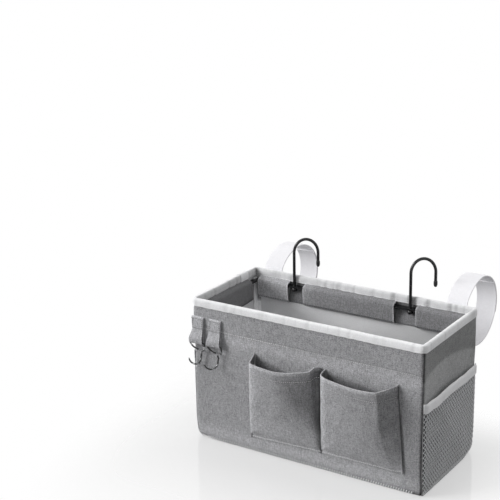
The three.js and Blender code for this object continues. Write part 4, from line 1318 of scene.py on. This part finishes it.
def make_tab(side, x):
    """Makes one folded canvas tab round the bar of its key hook."""
    left = side == "left"
    turned = [(KEY_REACH + 2.1 * math.cos(a), KEY_HEIGHT + 2.1 * math.sin(a))
              for a in np.radians((190, 225, 270, 315, 350))]
    front = ((KEY_REACH + 3.2, KEY_HEIGHT + 6), (5.4, TAB_WAIST - 6), (3.5, TAB_WAIST - 0.6),
             (3.3, TAB_WAIST + 1), (3.7, TAB_WAIST + 5), (3.7, TAB_WAIST + 9), (3.0, TAB_TOP - 1.5),
             (1.9, TAB_TOP))
    back = ((0.9, TAB_TOP - 0.2), (0.95, TAB_WAIST + 4), (0.95, TAB_WAIST - 1), (2.3, KEY_HEIGHT + 5))
    path = curve_through((*back, *turned, *front), 64)
    out, up = path[:, :1], path[:, 1:]
    share = np.linspace(-1, 1, 13)[None, :]
    low = falling(up, TAB_WAIST, 17)
    widths = ((KEY_HEIGHT - 2, 9.9), (KEY_HEIGHT + 4, 9.7), (TAB_WAIST - 2, 7.8), (TAB_WAIST + 2, 7.8),
              (TAB_TOP, 8.8))
    half = np.interp(up, *zip(*widths))
    lean = (-1.2 if left else -0.8) * low
    fore = np.linspace(0, 1, len(path))[:, None] > 0.45
    waves = 0.25 * rumple(share * 9, up, 6, 60 if left else 66)
    out = out + fore * (waves - 0.5 * low * share * (1 - share ** 2))
    # Painted highlight on the top fold and the folded edges, painted shade in the waist's crease, and painted
    # light over the whole tab, more above the waist
    tint = 0.35 * hump(up, TAB_TOP, 0.9) - 0.3 * hump(up, TAB_WAIST, 0.8) * fore
    tint = tint + 0.18 * np.abs(share) ** 8 + 0.32 + 0.16 * (up > TAB_WAIST)
    points = on_wall("front", x + share * half + lean, out, up)
    obj = cloth(side + "_tab_cloth", points, 0.8, finish("grey_canvas"), tint=tint)
    kept(obj, "grey_canvas", side + "_key_tab")


def make_key_hook(side, x, turn):
    """One bent wire: a loop through the tab, drawn in to a neck, and an open hook."""
    arm, bow, neck, neck_side, shank, radius = 10.2, 0.9, 10.0, 5.0, 10.5, 8.5
    points = [
        (1.4, 0, bow - neck), (-arm / 2, 0, -7.1), (-arm, 0, -3), (-arm, 0, -bow), (bow - arm, 0, 0),
        (-arm / 2, 0, 0), (arm / 2, 0, 0), (arm - bow, 0, 0), (arm, 0, -bow), (arm, 0, 1.8 - neck),
        (arm - 1.8, 0, -neck), (neck_side + bow, 0, -neck - bow), (neck_side, 0, -neck - 1.8),
        (neck_side + bow, 0, -neck - shank / 2)]
    c, s = math.cos(math.radians(turn)), math.sin(math.radians(turn))
    for a in np.linspace(math.pi, math.pi + math.radians(162), 9):
        across, up = radius + radius * math.cos(a), -neck - shank + 9 * math.sin(a)
        points.append((neck_side - across * c, -across * s, up))
    line = curve_through(points, 170) + np.array([x, -HALF_DEEP - KEY_REACH, KEY_HEIGHT])
    obj = tube(side + "_key_wire", line, 1.05, finish("bright_nickel"), sides=14)
    kept(obj, "bright_nickel", side + "_key_hook", body=side + "_key_hook")


def make_key_hooks(context):
    """Makes the two tabs, their key hooks and the tabs' stitches."""
    cross_lines, edge_lines = [], []
    for side, (x, turn) in KEY_PLACES.items():
        make_tab(side, x)
        up = np.linspace(TAB_WAIST + 1.5, TAB_TOP - 3.5, 12)
        edge_lines += [on_wall("front", x + edge, 4.0, up) for edge in (-7.0, 7.0)]
        for height, out, half in ((TAB_WAIST, 3.5, 7.0), (TAB_TOP - 2.6, 3.65, 8.0)):
            cross_lines.append(on_wall("front", np.linspace(x - half, x + half, 10), out, height))
        make_key_hook(side, x, turn)
    stitches("tab_stitches", cross_lines, "dark_thread", "grey_canvas", long=1.6, thick=0.6, pitch=2.3)
    stitches("tab_edge_stitches", edge_lines, "dark_thread", "grey_canvas", long=1.5, thick=0.7, pitch=2.3)


# Bed hooks

def make_bed_hooks(context):
    """Makes the two bed hooks, each from its ball head up over the arch, and their dipped tips."""
    ball_up, ball, wire, span, rise = 168.83, 3.5, 1.95, 31.0, 18.5
    spring, tip_end = RIM_TOP + 31, RIM_TOP + 12
    # Across from the shank, height and radius
    head = [(0, ball_up + ball * math.sin(a), ball * math.cos(a))
            for a in np.radians(np.linspace(-84, 58, 16))]
    shank = [(0, up, wire) for up in np.linspace(ball_up + 3.4, spring, 24)]
    bend = [(span / 2 * (1 - math.cos(a)), spring + rise * math.sin(a), wire)
            for a in np.linspace(0, math.pi, 41)[1:-1]]
    drop = [(span, up, wire) for up in np.linspace(spring, tip_end + 2.5, 8)]
    across, heights, radii = np.array(head + shank + bend + drop).T
    tip_heights = tip_end + 1.6 + np.array([0.6, 1.6, 3, 5, 7, 7.8, 8.3, 8.5]) * 0.8
    tip_radii = np.array([2.05, 2.4, 2.5, 2.5, 2.45, 2.3, 2.05, 1.85])
    for side, (x, turn) in HOOKS.items():
        c, s = math.cos(math.radians(turn)), math.sin(math.radians(turn))
        line = np.stack([x + c * across, HOOK_DEEP + s * across, heights], -1)
        obj = tube(side + "_bed_hook", line, radii, finish("black_steel"), sides=20)
        kept(obj, "black_steel", side + "_hook", body=side + "_hook")
        line = [(x + c * span, HOOK_DEEP + s * span, up) for up in tip_heights]
        tip = tube(side + "_bed_hook_tip", line, tip_radii, finish("black_vinyl"), sides=20)
        kept(tip, "black_vinyl", side + "_hook_tip", body=side + "_hook")


# Straps

def strap_ring(radius, angles):
    """Points on a strap's loop, from front to rear and up, at angles in degrees."""
    return [(STRAP_CENTRE[0] + radius * math.cos(a), STRAP_CENTRE[1] + 0.89 * radius * math.sin(a))
            for a in np.radians(angles)]


def make_strap_half(side, half, knots, seed, thickness):
    """Makes the upper or the lower half of a strap, waved and curled where it is free."""
    lower = half == "lower"
    path = curve_through(knots, 84)
    a, y = np.meshgrid(np.linspace(0, STRAP_WIDE, 14), path[:, 0])
    z = np.repeat(path[:, 1:], a.shape[1], axis=1)
    free = rising(y, 82, 20)
    wave = free * (0.5 * rumple(a, np.arange(len(path))[:, None] * 2.4, 34, seed))
    r = np.stack([y - STRAP_CENTRE[0], z - STRAP_CENTRE[1]], -1)
    r = r / np.linalg.norm(r, axis=-1, keepdims=True)
    shift = wave + (-0.15 if lower else 0.0)
    y, z = y + r[..., 0] * shift, z + r[..., 1] * shift
    off_middle = np.abs(a - STRAP_WIDE / 2) / (STRAP_WIDE / 2)
    curl = 0.35 * off_middle ** 4 * free
    points = np.stack([STRAP_STARTS[side] + a, y - r[..., 0] * curl, z - r[..., 1] * curl], -1)
    tint = -0.04 * lower + 0.05 * off_middle ** 10
    obj = cloth(f"{side}_strap_{half}_tape", points, thickness, finish("white_strap"), tint=tint, offset=0.0)
    kept(obj, "white_strap", f"{side}_strap_{half}")


def make_straps(context):
    """Makes the two straps' halves and the boxes of stitches that hold them."""
    thickness = context.scene.caddy_sizes.strap_thickness / MM
    upper = [(74.45, 171), (74.5, 178), (75.0, 187)] + strap_ring(50, np.linspace(146, -20, 15))
    lower = [(73.6, 156.5), (73.6, 150), (74.2, 144)] + strap_ring(48.2, np.linspace(222, 398, 16))
    box_lines = []
    for side, start in STRAP_STARTS.items():
        seed = 71 + (side == "left")
        make_strap_half(side, "upper", upper, seed, thickness)
        make_strap_half(side, "lower", lower, seed + 5, thickness)
        near, far = start + 2.5, start + 23.5
        for y, low, high in ((75.35, 172.6, 181.5), (74.5, 141.5, 155)):
            corners = [(near, low), (far, low), (far, high), (near, high), (near, low), (far, high)]
            path = even(np.array(corners, float), 40)
            box_lines.append(np.stack([path[:, 0], np.full(len(path), y), path[:, 1]], -1))
    stitches("strap_stitches", box_lines, "white_thread", "white_strap", long=1.8, thick=0.45, pitch=2.4)


# Frame and boards

def make_solids(context):
    """Finishes the steel frame, which shows as it is, and makes the boards."""
    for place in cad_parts["rim_frame"].material_slots:
        place.material = finish("black_steel")
    look = finish("stiffener_board")
    for wall in STIFF:
        low, high = node_box(wall + "_board")
        points = shell(wall, steps((low[2], 12, 1.0), (12, high[2], 8)), inset=1.15, step=8, seam=1.5)
        kept(cloth(wall + "_board_sheet", points, 1.1, look), "stiffener_board", wall + "_board")
    low, high = node_box("base_board")
    rim = round_the_box(1.4, low[2], 4.0)
    rings = [rim * [share, share, 0] + [0, 0, high[2]] for share in (0.01, 0.3, 0.6, 0.9, 1.0)]
    board = cloth("base_board_sheet", np.array(rings), high[2] - low[2], look, wrap=True, flip=True)
    kept(board, "stiffener_board", "base_board")


# Floor, light and camera

def seen_directly(g):
    """1 for a ray from the camera, also by way of a mirror or glass, and 0 for light on its way to cloth."""
    path = g.tree.nodes.new("ShaderNodeLightPath").outputs
    mirrored = g.plus(path["Is Glossy Ray"], path["Is Transmission Ray"])
    return g.plus(path["Is Camera Ray"], mirrored, clamp=True)


def make_floor():
    """Makes a pale, glossy floor that fades out round the caddy."""
    size, level = 6.0, -0.0002
    corners = [(-size, -size, level), (size, -size, level), (size, size, level), (-size, size, level)]
    mesh = bpy.data.meshes.new("studio_floor")
    mesh.from_pydata(corners, [], [(0, 1, 2, 3)])
    g = Surface("studio_floor_look", Roughness=0.04, Specular_IOR_Level=0.5, Emission_Color=(1, 1, 1, 1))
    bounced = g.add("ShaderNodeLightPath", out=2)
    g.put(g.shader.inputs["Base Color"], g.mix(bounced, (0.36, 0.36, 0.36, 1), (0.25, 0.25, 0.25, 1)))
    g.put(g.shader.inputs["Emission Strength"], g.times(seen_directly(g), 0.45))
    x, y, _ = g.split(g.place)
    aside, before, behind = (
        g.times(g.less(away, half * MM, clamp=True), 1 / fade)
        for away, half, fade in ((g.math("ABSOLUTE", x), HALF_WIDE, 0.16),
                                 (g.times(y, -1.0), HALF_DEEP, 0.3), (y, HALF_DEEP, 0.12)))
    deep = g.plus(before, behind)
    far = g.math("SQRT", g.plus(g.times(aside, aside), g.times(deep, deep)))
    gone = g.smooth_range(far, From_Min=0.0, From_Max=1.0)
    both = g.add("ShaderNodeMixShader", gone, g.shader.outputs[0], g.add("ShaderNodeBsdfTransparent"))
    g.put(g.tree.nodes["Material Output"].inputs["Surface"], both)
    object_of("studio_floor", mesh, g.material)


def make_surround(scene):
    """Makes a white surround whose light is softer below and on the right front."""
    world = scene.world or bpy.data.worlds.new("studio")
    scene.world = world
    world.use_nodes = True
    g = Graph(world.node_tree)
    back = world.node_tree.nodes["Background"]
    back.inputs["Color"].default_value = (1, 1, 1, 1)
    way = world.node_tree.nodes.new("ShaderNodeTexCoord").outputs["Generated"]
    _, _, height = g.split(way)
    glow = g.smooth_range(height, From_Min=-0.25, From_Max=0.45, To_Min=0.2, To_Max=0.74)
    for toward, gain in (((0.55, -0.83, 0.0), -0.45), ((0.5, 0.87, 0.0), 0.6)):
        facing = g.add("ShaderNodeVectorMath", way, toward, operation="DOT_PRODUCT", out=1)
        glow = g.times(glow, g.linear(g.math("MAXIMUM", facing, 0.0), gain, 1.0))
    g.put(back.inputs["Strength"], g.math("MAXIMUM", seen_directly(g), glow))


def make_stage(context):
    """Makes the floor, the surround, one wide lamp and the camera."""
    scene = context.scene
    scene.view_settings.view_transform = "Standard"
    make_floor()
    make_surround(scene)

    lamp = bpy.data.objects.new("window_light", bpy.data.lights.new("window_light", "SUN"))
    lamp.data.energy, lamp.data.angle = 2.7, math.radians(28)
    lamp.rotation_mode = "QUATERNION"
    lamp.rotation_quaternion = Vector((-0.74, -0.56, 0.38)).to_track_quat("Z", "Y")
    scene.collection.objects.link(lamp)

    camera = bpy.data.objects.new("photo_camera", bpy.data.cameras.new("photo_camera"))
    azimuth, elevation, roll = (math.radians(angle) for angle in (29.89, 17.46, 3.582))
    flat = math.cos(elevation)
    away = Vector((math.sin(azimuth) * flat, -math.cos(azimuth) * flat, math.sin(elevation)))
    camera.rotation_mode = "QUATERNION"
    camera.rotation_quaternion = away.to_track_quat("Z", "Y") @ Quaternion((0, 1, 0), roll)
    camera.location = (0.72852, -1.27466, 0.71728)
    camera.data.lens, camera.data.sensor_width = 91.474, 36.0
    scene.collection.objects.link(camera)
    scene.camera = camera


# Operators and panel

class CADDY_OT_stage(bpy.types.Operator):
    """Make the floor, light and camera."""

    bl_idname = "caddy.stage"
    bl_label = "Stage"

    def execute(self, context):
        make_stage(context)
        return {"FINISHED"}


class CADDY_OT_solids(bpy.types.Operator):
    """Finish the steel frame and make the boards."""

    bl_idname = "caddy.solids"
    bl_label = "Frame and boards"

    def execute(self, context):
        make_solids(context)
        return {"FINISHED"}


class CADDY_OT_walls(bpy.types.Operator):
    """Make the outer canvas and its seams."""

    bl_idname = "caddy.walls"
    bl_label = "Walls"

    def execute(self, context):
        make_walls(context)
        return {"FINISHED"}


class CADDY_OT_lining(bpy.types.Operator):
    """Make the lining and its corner strips."""

    bl_idname = "caddy.lining"
    bl_label = "Lining"

    def execute(self, context):
        make_lining(context)
        return {"FINISHED"}


class CADDY_OT_sleeves(bpy.types.Operator):
    """Make the sleeves that hold the frame."""

    bl_idname = "caddy.sleeves"
    bl_label = "Sleeves"

    def execute(self, context):
        make_sleeves(context)
        return {"FINISHED"}


class CADDY_OT_rim_tape(bpy.types.Operator):
    """Make the white tape over the rim."""

    bl_idname = "caddy.rim_tape"
    bl_label = "Rim tape"

    def execute(self, context):
        make_rim_tape(context)
        return {"FINISHED"}


class CADDY_OT_pockets(bpy.types.Operator):
    """Make the two front pockets."""

    bl_idname = "caddy.pockets"
    bl_label = "Front pockets"

    def execute(self, context):
        make_pockets(context)
        return {"FINISHED"}


class CADDY_OT_nets(bpy.types.Operator):
    """Make the net pockets on the ends."""

    bl_idname = "caddy.nets"
    bl_label = "Net pockets"

    def execute(self, context):
        make_nets(context)
        return {"FINISHED"}


class CADDY_OT_key_hooks(bpy.types.Operator):
    """Make the tabs and their key hooks."""

    bl_idname = "caddy.key_hooks"
    bl_label = "Key hooks"

    def execute(self, context):
        make_key_hooks(context)
        return {"FINISHED"}


class CADDY_OT_bed_hooks(bpy.types.Operator):
    """Make the two bed hooks and their tips."""

    bl_idname = "caddy.bed_hooks"
    bl_label = "Bed hooks"

    def execute(self, context):
        make_bed_hooks(context)
        return {"FINISHED"}


class CADDY_OT_straps(bpy.types.Operator):
    """Make the hook-and-loop straps."""

    bl_idname = "caddy.straps"
    bl_label = "Straps"

    def execute(self, context):
        make_straps(context)
        return {"FINISHED"}


OPERATORS = (
    CADDY_OT_stage, CADDY_OT_solids, CADDY_OT_walls, CADDY_OT_lining, CADDY_OT_sleeves, CADDY_OT_rim_tape,
    CADDY_OT_pockets, CADDY_OT_nets, CADDY_OT_key_hooks, CADDY_OT_bed_hooks, CADDY_OT_straps)


class CADDY_PT_pieces(bpy.types.Panel):
    """Lists the caddy's sizes, colours and pieces."""

    bl_label = "Bedside caddy"
    bl_space_type = "VIEW_3D"
    bl_region_type = "UI"
    bl_category = "Caddy"

    def draw(self, context):
        for group in (context.scene.caddy_sizes, context.scene.caddy_colours):
            for key in type(group).__annotations__:
                self.layout.prop(group, key)
        for made in OPERATORS:
            self.layout.operator(made.bl_idname)


CLASSES = (CaddySizes, CaddyColours, *OPERATORS, CADDY_PT_pieces)


def register():
    for made in CLASSES:
        bpy.utils.register_class(made)
    bpy.types.Scene.caddy_sizes = bpy.props.PointerProperty(type=CaddySizes)
    bpy.types.Scene.caddy_colours = bpy.props.PointerProperty(type=CaddyColours)


def unregister():
    del bpy.types.Scene.caddy_colours
    del bpy.types.Scene.caddy_sizes
    for made in reversed(CLASSES):
        bpy.utils.unregister_class(made)


def main():
    """Registers the add-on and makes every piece."""
    register()
    bpy.ops.caddy.stage()
    bpy.ops.caddy.solids()
    bpy.ops.caddy.walls()
    bpy.ops.caddy.lining()
    bpy.ops.caddy.sleeves()
    bpy.ops.caddy.rim_tape()
    bpy.ops.caddy.pockets()
    bpy.ops.caddy.nets()
    bpy.ops.caddy.key_hooks()
    bpy.ops.caddy.bed_hooks()
    bpy.ops.caddy.straps()


if __name__ == "__main__":
    main()
